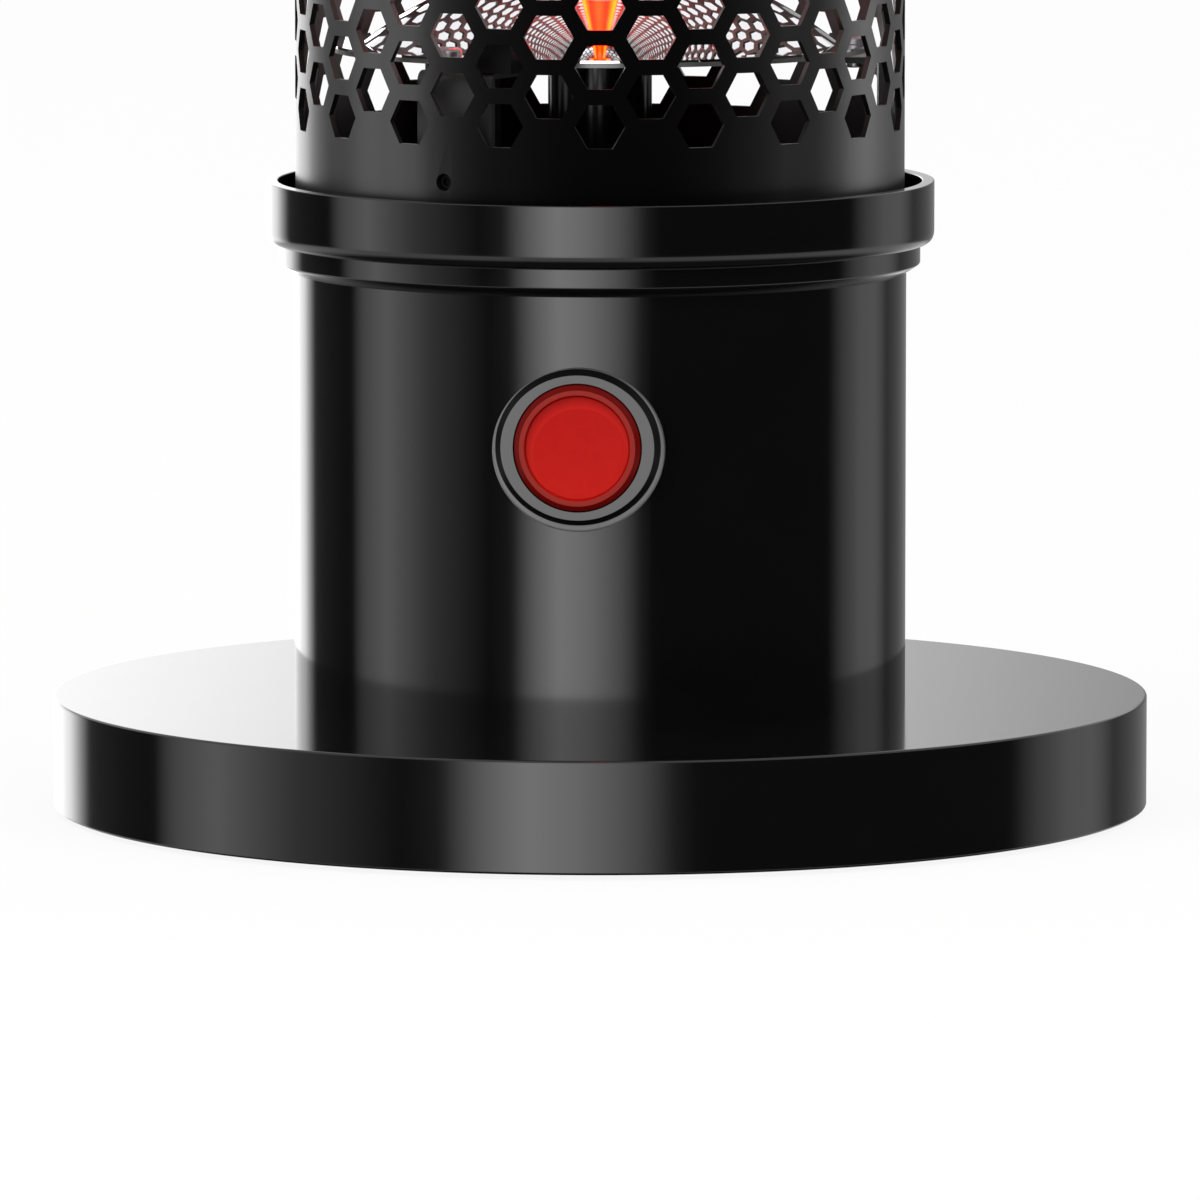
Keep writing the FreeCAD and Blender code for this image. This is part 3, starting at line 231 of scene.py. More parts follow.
def grown(name, tree, **sizes):
    """A new piece made by a Geometry Nodes tree with these sizes, as a plain mesh with crisp edges."""
    piece = bpy.data.objects.new(name, bpy.data.meshes.new(name))
    bpy.context.scene.collection.objects.link(piece)
    modifier = piece.modifiers.new(name, "NODES")
    modifier.node_group = tree
    for socket in tree.interface.items_tree:
        if socket.in_out == "INPUT":
            modifier[socket.identifier] = sizes[socket.name.lower().replace(" ", "_")]
    graph = bpy.context.evaluated_depsgraph_get()
    mesh = bpy.data.meshes.new_from_object(piece.evaluated_get(graph))
    piece.modifiers.remove(modifier)
    piece.data = mesh
    mesh.set_sharp_from_angle(angle=math.radians(35))
    return piece


def ring_of(name, model, count, circle, clock, level, material, sideways=0.0, tilt=0.0, middle=None):
    """A ring of copies of a model piece, at both ends where the middle between them is given."""
    ring = grown(name, ring_tree, piece=model, count=count, circle=circle * mm, sideways=sideways * mm,
                 clock=math.radians(clock), level=level, tilt=math.radians(tilt), both_ends=middle is not None,
                 middle=middle or 0.0, material=material)
    bpy.data.objects.remove(model)
    return ring


def fit(piece, body, slot, *nodes):
    """Puts a piece in the place of CAD nodes, on their body; slot, their record finish, is not used."""
    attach(piece, body)
    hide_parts(*nodes)


foot_rubber = grained("foot_rubber", (0.02, 0.02, 0.02), (0.032, 0.031, 0.03), gloss=0.75, spread=0.15,
                      grain=0.3 * mm, depth=0.02 * mm)
foot_radius, foot_top, foot_circle = 9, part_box("rubber_feet")[1].z / mm, 94
hollow_radius, hollow_depth = 2.4, 1.6
groove_inside, groove_outside, groove_depth, groove_slope = 5.2, 6.4, 0.6, 0.3
foot = turned("foot", [
    (0, hollow_depth, 0), (hollow_radius, hollow_depth, 0.2), (hollow_radius + 0.4, 0, 0.3),
    (groove_inside, 0, 0.25), (groove_inside + groove_slope, groove_depth, 0.2),
    (groove_outside - groove_slope, groove_depth, 0.2), (groove_outside, 0, 0.25),
    (foot_radius, 0, 0.9), (foot_radius, foot_top, 0.2), (0, foot_top, 0)], steps=48)
feet = ring_of("feet", foot, count=4, circle=foot_circle, clock=45, level=0.0, material=foot_rubber)
fit(feet, "frame", "foot_rubber", "rubber_feet")

# Base screws: three zinc-plated steel screws with a rounded head and a hexagon socket.
# They hold the bottom plate and the ballast to the posts, from below.


def screw_model(name, head, rise, shank, length, socket):
    """A screw with a rounded head above z = 0, a six-sided socket in it and the shank below."""
    def socketed(radius, height, angle):
        if height > 0 and 0 < radius < (socket + 0.01) * mm:
            radius *= math.cos(math.pi / 6) / math.cos(angle % (math.pi / 3) - math.pi / 6)
        return upright(radius, height, angle)

    return turned(name, [
        (0, -length, 0), (shank, -length, 0.3), (shank, 0, 0), (head, 0, 0.15), (head, rise, 0.55 * rise),
        (socket, rise, 0), (socket, 0.4 * rise, 0), (0, 0.3 * rise, 0)], steps=24, shape=socketed)


screw_low, screw_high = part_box("base_screws")
head_rise = 1.8
base_screw = screw_model("base_screw", head=4, rise=head_rise, shank=2,
                         length=(screw_high.z - screw_low.z) / mm - head_rise, socket=1.7)
base_screws = ring_of("bottom_screws", base_screw, count=3, circle=50.5, clock=63.5,
                      level=screw_low.z + head_rise * mm, material=zinc_plate, tilt=180)
fit(base_screws, "frame", "zinc_steel", "base_screws")

# Body: a drawn steel tube clamped between the pan and the collar by the tie rods.
# It has the same gloss enamel, and holds the wiring, the tip-over switch and the push-button.
black_moulding = grained("black_moulding", (0.006, 0.006, 0.006), (0.009, 0.009, 0.009), gloss=0.3, spread=0.1,
                         grain=0.25 * mm, depth=0.01 * mm, plain={"Specular IOR Level": 0.3})
white_moulding = grained("white_moulding", (0.8, 0.78, 0.73), (0.72, 0.7, 0.64), gloss=0.45, spread=0.1,
                         grain=0.3 * mm, depth=0.01 * mm)
brass = grained("brass", (0.72, 0.52, 0.2), (0.55, 0.38, 0.14), gloss=0.3, spread=0.2,
                grain=0.3 * mm, depth=0.005 * mm, patch=5 * mm, plain={"Metallic": 1.0})
wire_cover = grained("wire_cover", (0.75, 0.73, 0.68), (0.66, 0.63, 0.57), gloss=0.5, spread=0.1,
                     grain=0.3 * mm, depth=0.01 * mm)
paint(gloss_enamel, "body_shell")
paint(black_moulding, "gland_nut", "tip_switch", "contact_block", "switch_nut")
paint(white_moulding, "terminal_block", "button_plunger")
paint(brass, "earth_screw", "switch_terminals", "tip_pendulum")
paint(zinc_plate, "terminal_screws", "tip_bracket", "tip_pin")
paint(wire_cover, "lower_lead", "upper_lead", "switch_leads")

# Cord gland: a black moulded inlet at the back of the body, with a six-sided flange and a fluted nose.
# Its threaded end goes through the body and is held by a nut inside.
gland_low, gland_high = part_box("cord_gland")
gland_axis = (gland_low.z + gland_high.z) / 2
gland_end, gland_tip = gland_low.y / mm, gland_high.y / mm
gland_bore, gland_thread, gland_flange, gland_nose = 3.75, 6, 9, 6.5
flutes, flute_depth = 16, 0.35 * mm
gland_seat = gland_tip - 12.5
gland_shoulder = gland_tip - 8.5


def gland_shape(radius, height, angle):
    """Points along +Y: six flats on the flange and flutes round the nose."""
    if radius > (gland_nose + 1) * mm:
        radius *= math.cos(math.pi / 6) / math.cos(angle % (math.pi / 3) - math.pi / 6)
    elif radius > (gland_nose - 1) * mm and height > (gland_shoulder + 1) * mm:
        radius -= flute_depth * (0.5 - 0.5 * math.cos(flutes * angle)) ** 2
    return Vector((radius * math.cos(angle), height, gland_axis + radius * math.sin(angle)))


gland = turned("gland", [
    (gland_bore, gland_end, 0.3), (gland_thread, gland_end, 0.4), (gland_thread, gland_seat, 0),
    (gland_flange, gland_seat, 0.3), (gland_flange, gland_shoulder, 0.8), (gland_nose, gland_shoulder, 0.4),
    (gland_nose, gland_shoulder + 1.4, 0), (gland_nose, gland_tip, 1.6), (gland_bore, gland_tip, 0.6)],
    steps=96, shape=gland_shape)
gland.data.materials.append(black_moulding)
fit(gland, "frame", "black_plastic", "cord_gland")

# Push-button saddle: a satin grey ring that is curved behind to sit on the body, under the bezel.
# It shows as a thin lip beside and below the bezel.
cap_low, cap_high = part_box("button_cap")
bezel_low, bezel_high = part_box("switch_bezel")
button_axis = (cap_low.z + cap_high.z) / 2
saddle_front = -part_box("switch_saddle")[0].y / mm
bezel_front, bezel_back = -bezel_low.y / mm, -bezel_high.y / mm
body_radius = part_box("body_shell")[1].x
saddle_bore, saddle_radius, saddle_drop, saddle_sink = 14.2, 16.05, 0.66 * mm, 0.1 * mm
button_widening, widened_from, widened_over = 0.85 * mm, 13.4, 0.9


def facing_front(radius, height, angle, drop=0.0):
    """Points towards -Y; the outer rings are a little wider than high, as on the curved body."""
    widening = button_widening * min(max((radius / mm - widened_from) / widened_over, 0), 1)
    return Vector(((radius + widening) * math.cos(angle), -height, button_axis - drop + radius * math.sin(angle)))


def on_body(radius, height, angle):
    """Saddle points: those at the back follow the body's round face."""
    point = facing_front(radius, height, angle, drop=saddle_drop)
    if height == 0:
        point.y = -math.sqrt(body_radius**2 - point.x**2) + saddle_sink
    return point


saddle_grey = grained("saddle_grey", (0.15, 0.15, 0.152), (0.12, 0.12, 0.122), gloss=0.35, spread=0.08,
                      grain=0.2 * mm, depth=0.004 * mm)
saddle = turned("saddle_ring", [
    (saddle_bore, 0, 0), (saddle_radius, 0, 0), (saddle_radius, saddle_front, 0.55),
    (saddle_bore, saddle_front, 0)], steps=120, shape=on_body)
saddle.data.materials.append(saddle_grey)
fit(saddle, "frame", "saddle_grey", "switch_saddle")

# Push-button bezel: a black moulding with a barrel that the nut draws against the body.
# Its flat face is polished and its slope and bore are left matt.
bore, face_edge, bezel_radius, barrel_radius = 12.62, 14.3, 15.4, 13.9
floor_bore, floor_thickness = 5, 2
gloss_moulding = grained("gloss_moulding", (0.003, 0.003, 0.003), (0.004, 0.004, 0.004), gloss=0.4, spread=0.1,
                         grain=0.4 * mm, depth=0.0005 * mm,
                         plain={"Specular IOR Level": 0.06, "Coat Roughness": 0.06})
tree = gloss_moulding.node_tree
spot = add_node(tree, "ShaderNodeTexCoord").outputs["Object"]
depth = add_node(tree, "ShaderNodeSeparateXYZ", {0: spot}).outputs["Y"]
polished = calc(tree, "LESS_THAN", depth, (0.02 - bezel_front) * mm)
tree.links.new(polished, tree.nodes["Principled BSDF"].inputs["Coat Weight"])
barrel_floor = bezel_back + floor_thickness
bezel = turned("button_bezel", [
    (bore, bezel_front, 0.08), (face_edge, bezel_front, 0.08), (bezel_radius, saddle_front + 0.3, 0.2),
    (bezel_radius, saddle_front, 0), (barrel_radius, saddle_front, 0), (barrel_radius, bezel_back, 0.3),
    (floor_bore, bezel_back, 0), (floor_bore, barrel_floor, 0), (bore, barrel_floor, 0)],
    steps=120, shape=facing_front)
bezel.data.materials.append(gloss_moulding)
fit(bezel, "frame", "black_plastic", "switch_bezel")

# Push-button cap: a translucent red moulding, lit from behind, that slides in the bezel's barrel.
# A sloped edge and a flat rim run round a slightly dished window; the lamp's seat behind it is painted as a
# crescent of painted shade at the window's top.
cap_front, cap_back = -cap_low.y / mm, -cap_high.y / mm
window_radius, slope_radius, cap_radius, cap_inside = 10.35, 11.4, 12.45, 10.8
seat_radius = 9.2
cap_ceiling = cap_front - 2.4
cap = turned("red_button", [
    (0, cap_front - 0.95, 0), (window_radius - 0.3, cap_front - 0.75, 0.05),
    (window_radius - 0.1, cap_front - 1, 0.05), (window_radius + 0.1, cap_front, 0.08),
    (slope_radius, cap_front, 0.12), (cap_radius, cap_front - 1, 0.3), (cap_radius, cap_back, 0.2),
    (cap_inside, cap_back, 0.2), (cap_inside, cap_ceiling, 0.5), (0, cap_ceiling, 0)],
    steps=96, shape=facing_front)
red_cap = bpy.data.materials.new("red_cap")
red_cap.use_nodes = True
tree = red_cap.node_tree
shader = tree.nodes["Principled BSDF"]
shader.inputs["Specular IOR Level"].default_value = 0.05
shader.inputs["Subsurface Weight"].default_value = 0.2
shader.inputs["Subsurface Scale"].default_value = 1.5 * mm
shader.inputs["Emission Strength"].default_value = 1.0
spot = add_node(tree, "ShaderNodeTexCoord").outputs["Object"]
from_axis = add_node(tree, "ShaderNodeVectorMath", {0: spot, 1: (0, 0, button_axis)},
                     operation="SUBTRACT").outputs[0]
flat_spot = add_node(tree, "ShaderNodeVectorMath", {0: from_axis, 1: (1, 0, 1)}, operation="MULTIPLY").outputs[0]
outwards = add_node(tree, "ShaderNodeVectorMath", {0: flat_spot}, operation="LENGTH").outputs["Value"]
on_rim = calc(tree, "GREATER_THAN", outwards, window_radius * mm)
facets = add_node(tree, "ShaderNodeTexVoronoi", {"Vector": flat_spot, "Scale": 1 / (2.6 * mm)},
                  distance="CHEBYCHEV")
# Painted shade: the lens is darker towards its top, over a faceted pattern
rise = add_node(tree, "ShaderNodeSeparateXYZ", {0: from_axis}).outputs["Z"]
shade = calc(tree, "SUBTRACT", calc(tree, "MULTIPLY", facets.outputs["Distance"], 0.25),
             calc(tree, "DIVIDE", rise, 60 * mm))
lens = add_node(tree, "ShaderNodeMix",
                {"Factor": shade, "A": (0.38, 0.005, 0.003, 1), "B": (0.6, 0.014, 0.009, 1)},
                data_type="RGBA", clamp_factor=True).outputs["Result"]
# Painted shade: a crescent at the window's top, lighter at its arc and darker towards the outer edge
seat_place = (0.5 * mm, 0, -1.4 * mm)
from_seat = add_node(tree, "ShaderNodeVectorMath", {0: flat_spot, 1: seat_place}, operation="SUBTRACT")
off_seat = add_node(tree, "ShaderNodeVectorMath", {0: from_seat.outputs[0]}, operation="LENGTH").outputs["Value"]
past_seat = calc(tree, "GREATER_THAN", off_seat, seat_radius * mm)
fade = add_node(tree, "ShaderNodeMapRange",
                {"Value": off_seat, "From Min": seat_radius * mm, "From Max": (seat_radius + 2.4) * mm}).outputs[0]
crescent_shade = add_node(tree, "ShaderNodeMix", {"Factor": fade, "A": (0.46, 0.011, 0.007, 1), "B": (0.22, 0, 0, 1)},
                    data_type="RGBA").outputs["Result"]
window = add_node(tree, "ShaderNodeMix", {"Factor": past_seat, "A": lens, "B": crescent_shade},
                  data_type="RGBA").outputs["Result"]
# Painted light: the flat rim is a lighter, pinkish red as a painted highlight, and the slope a darker red as
# painted shade
shaded_slope = calc(tree, "GREATER_THAN", outwards, slope_radius * mm)
edge = add_node(tree, "ShaderNodeMix",
                {"Factor": shaded_slope, "A": (0.26, 0.022, 0.017, 1), "B": (0.11, 0.003, 0.002, 1)},
                data_type="RGBA").outputs["Result"]
lit_and_shaded_red = add_node(tree, "ShaderNodeMix", {"Factor": on_rim, "A": window, "B": edge},
                   data_type="RGBA").outputs["Result"]
glow = add_node(tree, "ShaderNodeMix",
                {"Factor": on_rim, "A": (0.06, 0.0012, 0.0006, 1), "B": (0.01, 0, 0, 1)},
                data_type="RGBA").outputs["Result"]
speckle = add_node(tree, "ShaderNodeTexNoise", {"Vector": spot, "Scale": 1 / (0.5 * mm), "Detail": 2.0}).outputs[0]
tree.links.new(lit_and_shaded_red, shader.inputs["Base Color"])
tree.links.new(glow, shader.inputs["Emission Color"])
tree.links.new(calc(tree, "ADD", 0.2, calc(tree, "MULTIPLY", speckle, 0.1)), shader.inputs["Roughness"])
tree.links.new(add_node(tree, "ShaderNodeBump", {"Height": speckle, "Distance": 0.002 * mm}).outputs[0],
               shader.inputs["Normal"])
cap.data.materials.append(red_cap)
fit(cap, "button", "button_red", "button_cap")

# Return spring: wound from round zinc-plated wire, between the barrel's floor and the plate of the plunger.
# It closes up as the button is pressed.
spring_low, spring_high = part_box("button_spring")
spring_length = spring_high.y - spring_low.y
spring_wire = 1.0 * mm
spring_turns = 3.0
coil_tree, given = new_group(
    "wound_spring", "GeometryNodeTree",
    {"Coil Radius": "Float", "Wire": "Float", "Length": "Float", "Turns": "Float", "Front": "Float",
     "Axis": "Float", "Material": "Material"},
    {"Spring": "Geometry"})
half_wire = calc(coil_tree, "MULTIPLY", given["Wire"], 0.5)
coil = add_node(coil_tree, "GeometryNodeCurveSpiral",
                {"Resolution": 32, "Rotations": given["Turns"], "Start Radius": given["Coil Radius"],
                 "End Radius": given["Coil Radius"],
                 "Height": calc(coil_tree, "SUBTRACT", given["Length"], given["Wire"])})
wire = add_node(coil_tree, "GeometryNodeCurvePrimitiveCircle", {"Resolution": 12, "Radius": half_wire})
wound = add_node(coil_tree, "GeometryNodeCurveToMesh",
                 {"Curve": coil.outputs[0], "Profile Curve": wire.outputs[0], "Fill Caps": True})
first_turn = at(coil_tree, 0.0, calc(coil_tree, "ADD", given["Front"], half_wire), given["Axis"])
lying = add_node(coil_tree, "GeometryNodeTransform",
                 {"Geometry": wound.outputs[0], "Rotation": (-math.pi / 2, 0, 0), "Translation": first_turn})
plated = add_node(coil_tree, "GeometryNodeSetMaterial", {
    0: add_node(coil_tree, "GeometryNodeSetShadeSmooth", {0: lying.outputs[0]}).outputs[0],
    "Material": given["Material"]})
add_node(coil_tree, "NodeGroupOutput", {0: plated.outputs[0]})
spring = grown("return_spring", coil_tree, coil_radius=spring_high.x - spring_wire, wire=spring_wire,
               length=spring_length, turns=spring_turns, front=spring_low.y, axis=button_axis,
               material=zinc_plate)
fit(spring, "frame", "zinc_steel", "button_spring")
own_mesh(spring)

# Collar: a turned ring in steps that sits in the body's mouth and carries the lower deck and the guard.
# It has the same gloss enamel as the body, and softened edges.
collar_low, collar_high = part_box("collar")
spigot_end, collar_top, collar_radius = collar_low.z / mm, collar_high.z / mm, collar_high.x / mm
band_height, band_step, band_rounding, flare_height = 12.6, 2.8, 2.65, 1.8
rim_wall, seat_thickness, seat_inside = 2.5, 3, 53.6
spigot_depth, spigot_inside = 8, 57.2
drum_radius = body_radius / mm
spigot_radius = drum_radius - 1.7
band_foot = collar_top - band_height
seat_top = band_foot + seat_thickness
rim_inside = collar_radius - rim_wall
ring_radius = collar_radius - band_step
drum_top = spigot_end + spigot_depth
collar = turned("collar_ring", [
    (drum_radius, drum_top, 0), (ring_radius, drum_top + flare_height, 0.3), (ring_radius, band_foot, 0.1),
    (collar_radius, band_foot, band_rounding), (collar_radius, collar_top, 0.25), (rim_inside, collar_top, 0.25),
    (rim_inside, seat_top, 0), (seat_inside, seat_top, 0.3), (seat_inside, band_foot, 0.3),
    (spigot_inside, band_foot, 0), (spigot_inside, spigot_end, 0.2), (spigot_radius, spigot_end, 0.2),
    (spigot_radius, drum_top, 0)], steps=240)
collar.data.materials.append(gloss_enamel)
fit(collar, "frame", "black_gloss", "collar")

# Lamp carriers: sheet decks, grey legs, ceramic washers and black stems at both ends of the lamp.
# They are stamped and bent, and held by rivets, screws and nuts.
deck_black = grained("deck_black", (0.006, 0.006, 0.0065), (0.01, 0.01, 0.01), gloss=0.45, spread=0.12,
                     grain=0.3 * mm, depth=0.008 * mm, plain={"Specular IOR Level": 0.2})
leg_grey = grained("leg_grey", (0.028, 0.028, 0.029), (0.022, 0.022, 0.023), gloss=0.42, spread=0.12,
                   grain=0.3 * mm, depth=0.006 * mm, plain={"Specular IOR Level": 0.3})
ceramic = grained("ceramic", (0.74, 0.72, 0.67), (0.66, 0.63, 0.57), gloss=0.55, spread=0.15,
                  grain=0.4 * mm, depth=0.03 * mm)
cutout_black = grained("cutout_black", (0.002, 0.002, 0.002), (0.004, 0.004, 0.004), gloss=0.5, spread=0.1,
                       grain=0.3 * mm, depth=0.01 * mm, plain={"Specular IOR Level": 0.1})
stem_black = grained("stem_black", (0.003, 0.003, 0.003), (0.005, 0.005, 0.005), gloss=0.16, spread=0.05,
                     grain=0.4 * mm, depth=0.001 * mm, plain={"Specular IOR Level": 0.25})
paint(deck_black, "lower_deck", "upper_deck")
paint(stem_black, "lower_stem", "upper_stem")
paint(cutout_black, "thermal_cutout")
paint(leg_grey, "lower_legs", "upper_legs")
paint(ceramic, "reflector_spacers", "lower_lamp_holder", "upper_lamp_holder")
paint(zinc_plate, "stem_nuts", "guard_nuts", "cap_screws", "lower_lamp_cap", "upper_lamp_cap", "wire_conduit")

legs, leg_clock = 3, -116.2
rivet_low, rivet_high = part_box("leg_rivets")
rivet_circle, rivet_head, rivet_shank, rivet_rise, rivet_grip = 45.79, 2.9, 1.5, 1, 2.4
rivet_end = rivet_grip + rivet_rise
rivet = turned("rivet", [
    (0, -rivet_end, 0), (rivet_head, -rivet_end, 0.8), (rivet_head, -rivet_grip, 0), (rivet_shank, -rivet_grip, 0),
    (rivet_shank, 0, 0), (rivet_head, 0, 0), (rivet_head, rivet_rise, 0.8), (0, rivet_rise, 0)], steps=24)
rivets = ring_of("rivets", rivet, count=legs, circle=rivet_circle, clock=leg_clock,
                 level=rivet_low.z + rivet_end * mm, material=zinc_plate,
                 middle=(rivet_low.z + rivet_high.z) / 2)
fit(rivets, "frame", "zinc_steel", "leg_rivets")

screw_low, screw_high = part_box("reflector_screws")
middle_height = (screw_low.z + screw_high.z) / 2
screw_length, screw_circle, screw_offset = 4.7, 50.75, -5.2
flange_screw = screw_model("flange_screw", head=2.9, rise=1.8, shank=1.5, length=screw_length, socket=1.3)
flange_screws = ring_of("flange_screws", flange_screw, count=legs, circle=screw_circle, clock=leg_clock,
                        sideways=screw_offset, level=screw_low.z + screw_length * mm, material=zinc_plate,
                        middle=middle_height)
fit(flange_screws, "frame", "zinc_steel", "reflector_screws")

# Reflectors: two aluminium domes, spun and mirror polished, with the bright side towards the lamp.
# The flange's edge is burnished on that side, and its cut face is left satin.
reflector_wall = 1.4 * mm
mirror = grained("mirror_aluminium", (0.9, 0.9, 0.91), (0.86, 0.86, 0.88), gloss=0.03, spread=0.02,
                 grain=2 * mm, depth=0.0004 * mm, plain={"Metallic": 1.0})
tree = mirror.node_tree
shader = tree.nodes["Principled BSDF"]
flange_low, flange_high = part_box("lower_reflector")
burnished = 0.5 * mm
spot = add_node(tree, "ShaderNodeTexCoord").outputs["Object"]
flat_spot = add_node(tree, "ShaderNodeVectorMath", {0: spot, 1: (1, 1, 0)}, operation="MULTIPLY").outputs[0]
outwards = add_node(tree, "ShaderNodeVectorMath", {0: flat_spot}, operation="LENGTH").outputs["Value"]
from_middle = calc(tree, "ABSOLUTE", calc(tree, "SUBTRACT", add_node(
    tree, "ShaderNodeSeparateXYZ", {0: spot}).outputs["Z"], middle_height))
satin_from = middle_height - flange_low.z - reflector_wall + burnished
on_edge = calc(tree, "MULTIPLY", calc(tree, "GREATER_THAN", outwards, flange_high.x - 0.02 * mm),
               calc(tree, "GREATER_THAN", from_middle, satin_from))
polished = shader.inputs["Base Color"].links[0].from_socket
smoothness = shader.inputs["Roughness"].links[0].from_socket
edge_colour = add_node(tree, "ShaderNodeMix", {"Factor": on_edge, "A": polished, "B": (0.2, 0.2, 0.2, 1)},
                       data_type="RGBA")
tree.links.new(edge_colour.outputs["Result"], shader.inputs["Base Color"])
edge_roughness = calc(tree, "MULTIPLY", on_edge, 0.4)
tree.links.new(calc(tree, "ADD", smoothness, edge_roughness), shader.inputs["Roughness"])
paint(mirror, "lower_reflector", "upper_reflector")

# Lamp: a clear quartz tube round a woven sleeve of carbon tows that glows red to yellow.
# The tube's ends sit in metal caps, and these in the ceramic holders.
quartz = grained("quartz", (1.0, 1.0, 1.0), (0.98, 0.98, 0.98), gloss=0.02, spread=0.01,
                 grain=6 * mm, depth=0.001 * mm, plain={"Transmission Weight": 1.0, "IOR": 1.46, "Alpha": 0.08})
paint(quartz, "quartz_tube", "indicator_lamp")

sleeve_low, sleeve_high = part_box("carbon_filament")
sleeve_radius, sleeve_inside = 5.9, 5.2
tows, tow_depth = 12, 0.15 * mm
weave_pitch, weave_rows = 12.0, 176
glowing = grained("glowing_carbon", (0.02, 0.002, 0.001), (0.015, 0.001, 0.001), gloss=0.7, spread=0.1,
                  grain=0.4 * mm, depth=0.02 * mm,
                  plain={"Specular IOR Level": 0.0, "Emission Strength": 20.0})
tree = glowing.node_tree
place = add_node(tree, "ShaderNodeTexCoord").outputs["Object"]
spot = add_node(tree, "ShaderNodeSeparateXYZ", {0: place}).outputs
bearing = calc(tree, "ARCTAN2", spot["X"], calc(tree, "MULTIPLY", spot["Y"], -1.0))
third = calc(tree, "FRACT", calc(tree, "ADD", calc(tree, "DIVIDE", bearing, math.tau / 3), 0.5))
heat = add_node(tree, "ShaderNodeValToRGB", {0: third})
for share, colour in ((0.0, (1, 0.0425, 0.0005, 1)), (0.25, (1, 0.0005, 0, 1)), (0.5, (1, 0.0105, 0, 1)),
                      (0.75, (1, 0.0005, 0, 1)), (1.0, (1, 0.0425, 0.0005, 1))):
    if 0 < share < 1:
        heat.color_ramp.elements.new(share).color = colour
    else:
        heat.color_ramp.elements[-1 if share else 0].color = colour
tree.links.new(heat.outputs[0], tree.nodes["Principled BSDF"].inputs["Emission Color"])


def woven(radius, height, angle):
    """Tows that cross over and under each other round the sleeve."""
    lay = math.tau * height / (weave_pitch * mm)
    wave = math.cos(tows * angle + lay) * math.cos(tows * angle - lay)
    return upright(radius + tow_depth * (wave - 1), height, angle)


bottom, top = sleeve_low.z / mm, sleeve_high.z / mm
heights = [bottom + (top - bottom) * row / weave_rows for row in range(weave_rows + 1)]
sleeve = turned("carbon_sleeve", [(sleeve_radius, height, 0) for height in heights]
                + [(sleeve_inside, height, 0) for height in reversed(heights)], steps=96, shape=woven)
sleeve.data.materials.append(glowing)
fit(sleeve, "frame", "carbon", "carbon_filament")

# Guard: a steel sheet perforated with hexagons in staggered columns, rolled to a tube and welded.
# It is sprayed with satin heat-resistant black and held by screws at both ends.
guard_low, guard_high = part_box("guard")
guard_wall = 1.1 * mm
satin_black = grained("satin_black", (0.0012, 0.0012, 0.0013), (0.002, 0.002, 0.0021), gloss=0.45, spread=0.08,
                      grain=0.35 * mm, depth=0.012 * mm,
                      plain={"Specular IOR Level": 0.006, "Coat Roughness": 0.33, "Coat IOR": 2.4})

# The paint is matt head-on and only shines at a slant; its inner face and hole walls carry a painted reddish glow
# of the lamp
tree = satin_black.node_tree
shader = tree.nodes["Principled BSDF"]
slant = add_node(tree, "ShaderNodeLayerWeight", {"Blend": 0.5}).outputs["Facing"]
full_shine = 0.21
shine = calc(tree, "POWER", calc(tree, "MINIMUM", calc(tree, "DIVIDE", slant, full_shine), 1.0), 2.0)
steep_shine = add_node(tree, "ShaderNodeMapRange", {"Value": slant, "From Min": 0.3, "From Max": 0.5,
                                                    "To Min": 0.4, "To Max": 0.95}).outputs[0]
tree.links.new(calc(tree, "MULTIPLY", shine, steep_shine), shader.inputs["Coat Weight"])
spot = add_node(tree, "ShaderNodeTexCoord").outputs["Object"]
flat_spot = add_node(tree, "ShaderNodeVectorMath", {0: spot, 1: (1, 1, 0)}, operation="MULTIPLY").outputs[0]
outwards = add_node(tree, "ShaderNodeVectorMath", {0: flat_spot}, operation="LENGTH").outputs["Value"]
# Painted lamp glow: a reddish brown on the inner face and the hole walls, where the lamp's red light falls
inside = add_node(tree, "ShaderNodeMapRange",
                  {"Value": outwards, "From Min": guard_high.x - guard_wall + 0.2 * mm,
                   "From Max": guard_high.x - guard_wall + 0.05 * mm})
sprayed = shader.inputs["Base Color"].links[0].from_socket
lamp_glow_painted = add_node(tree, "ShaderNodeMix",
                   {"Factor": inside.outputs[0], "A": sprayed, "B": (0.011, 0.003, 0.0025, 1)}, data_type="RGBA")
tree.links.new(lamp_glow_painted.outputs["Result"], shader.inputs["Base Color"])

sheet, given = new_group(
    "perforated_sheet", "GeometryNodeTree",
    {"Columns": "Int", "Rows": "Int", "Radius": "Float", "Wall": "Float", "Pitch": "Float", "Hole Flats": "Float",
     "First Row": "Float", "Bottom": "Float", "Height": "Float", "Clock": "Float", "Screw Clock": "Float",
     "Screw Rise": "Float", "Screw Hole": "Float", "Material": "Material"},
    {"Sheet": "Geometry"})
columns, rows, pitch, radius = given["Columns"], given["Rows"], given["Pitch"], given["Radius"]
column_pitch = calc(sheet, "DIVIDE", calc(sheet, "MULTIPLY", radius, math.tau), columns)
last_row = calc(sheet, "SUBTRACT", rows, 1.0)
half_pitch = calc(sheet, "MULTIPLY", pitch, 0.5)
position = add_node(sheet, "GeometryNodeInputPosition").outputs[0]
spot = add_node(sheet, "ShaderNodeSeparateXYZ", {0: position}).outputs

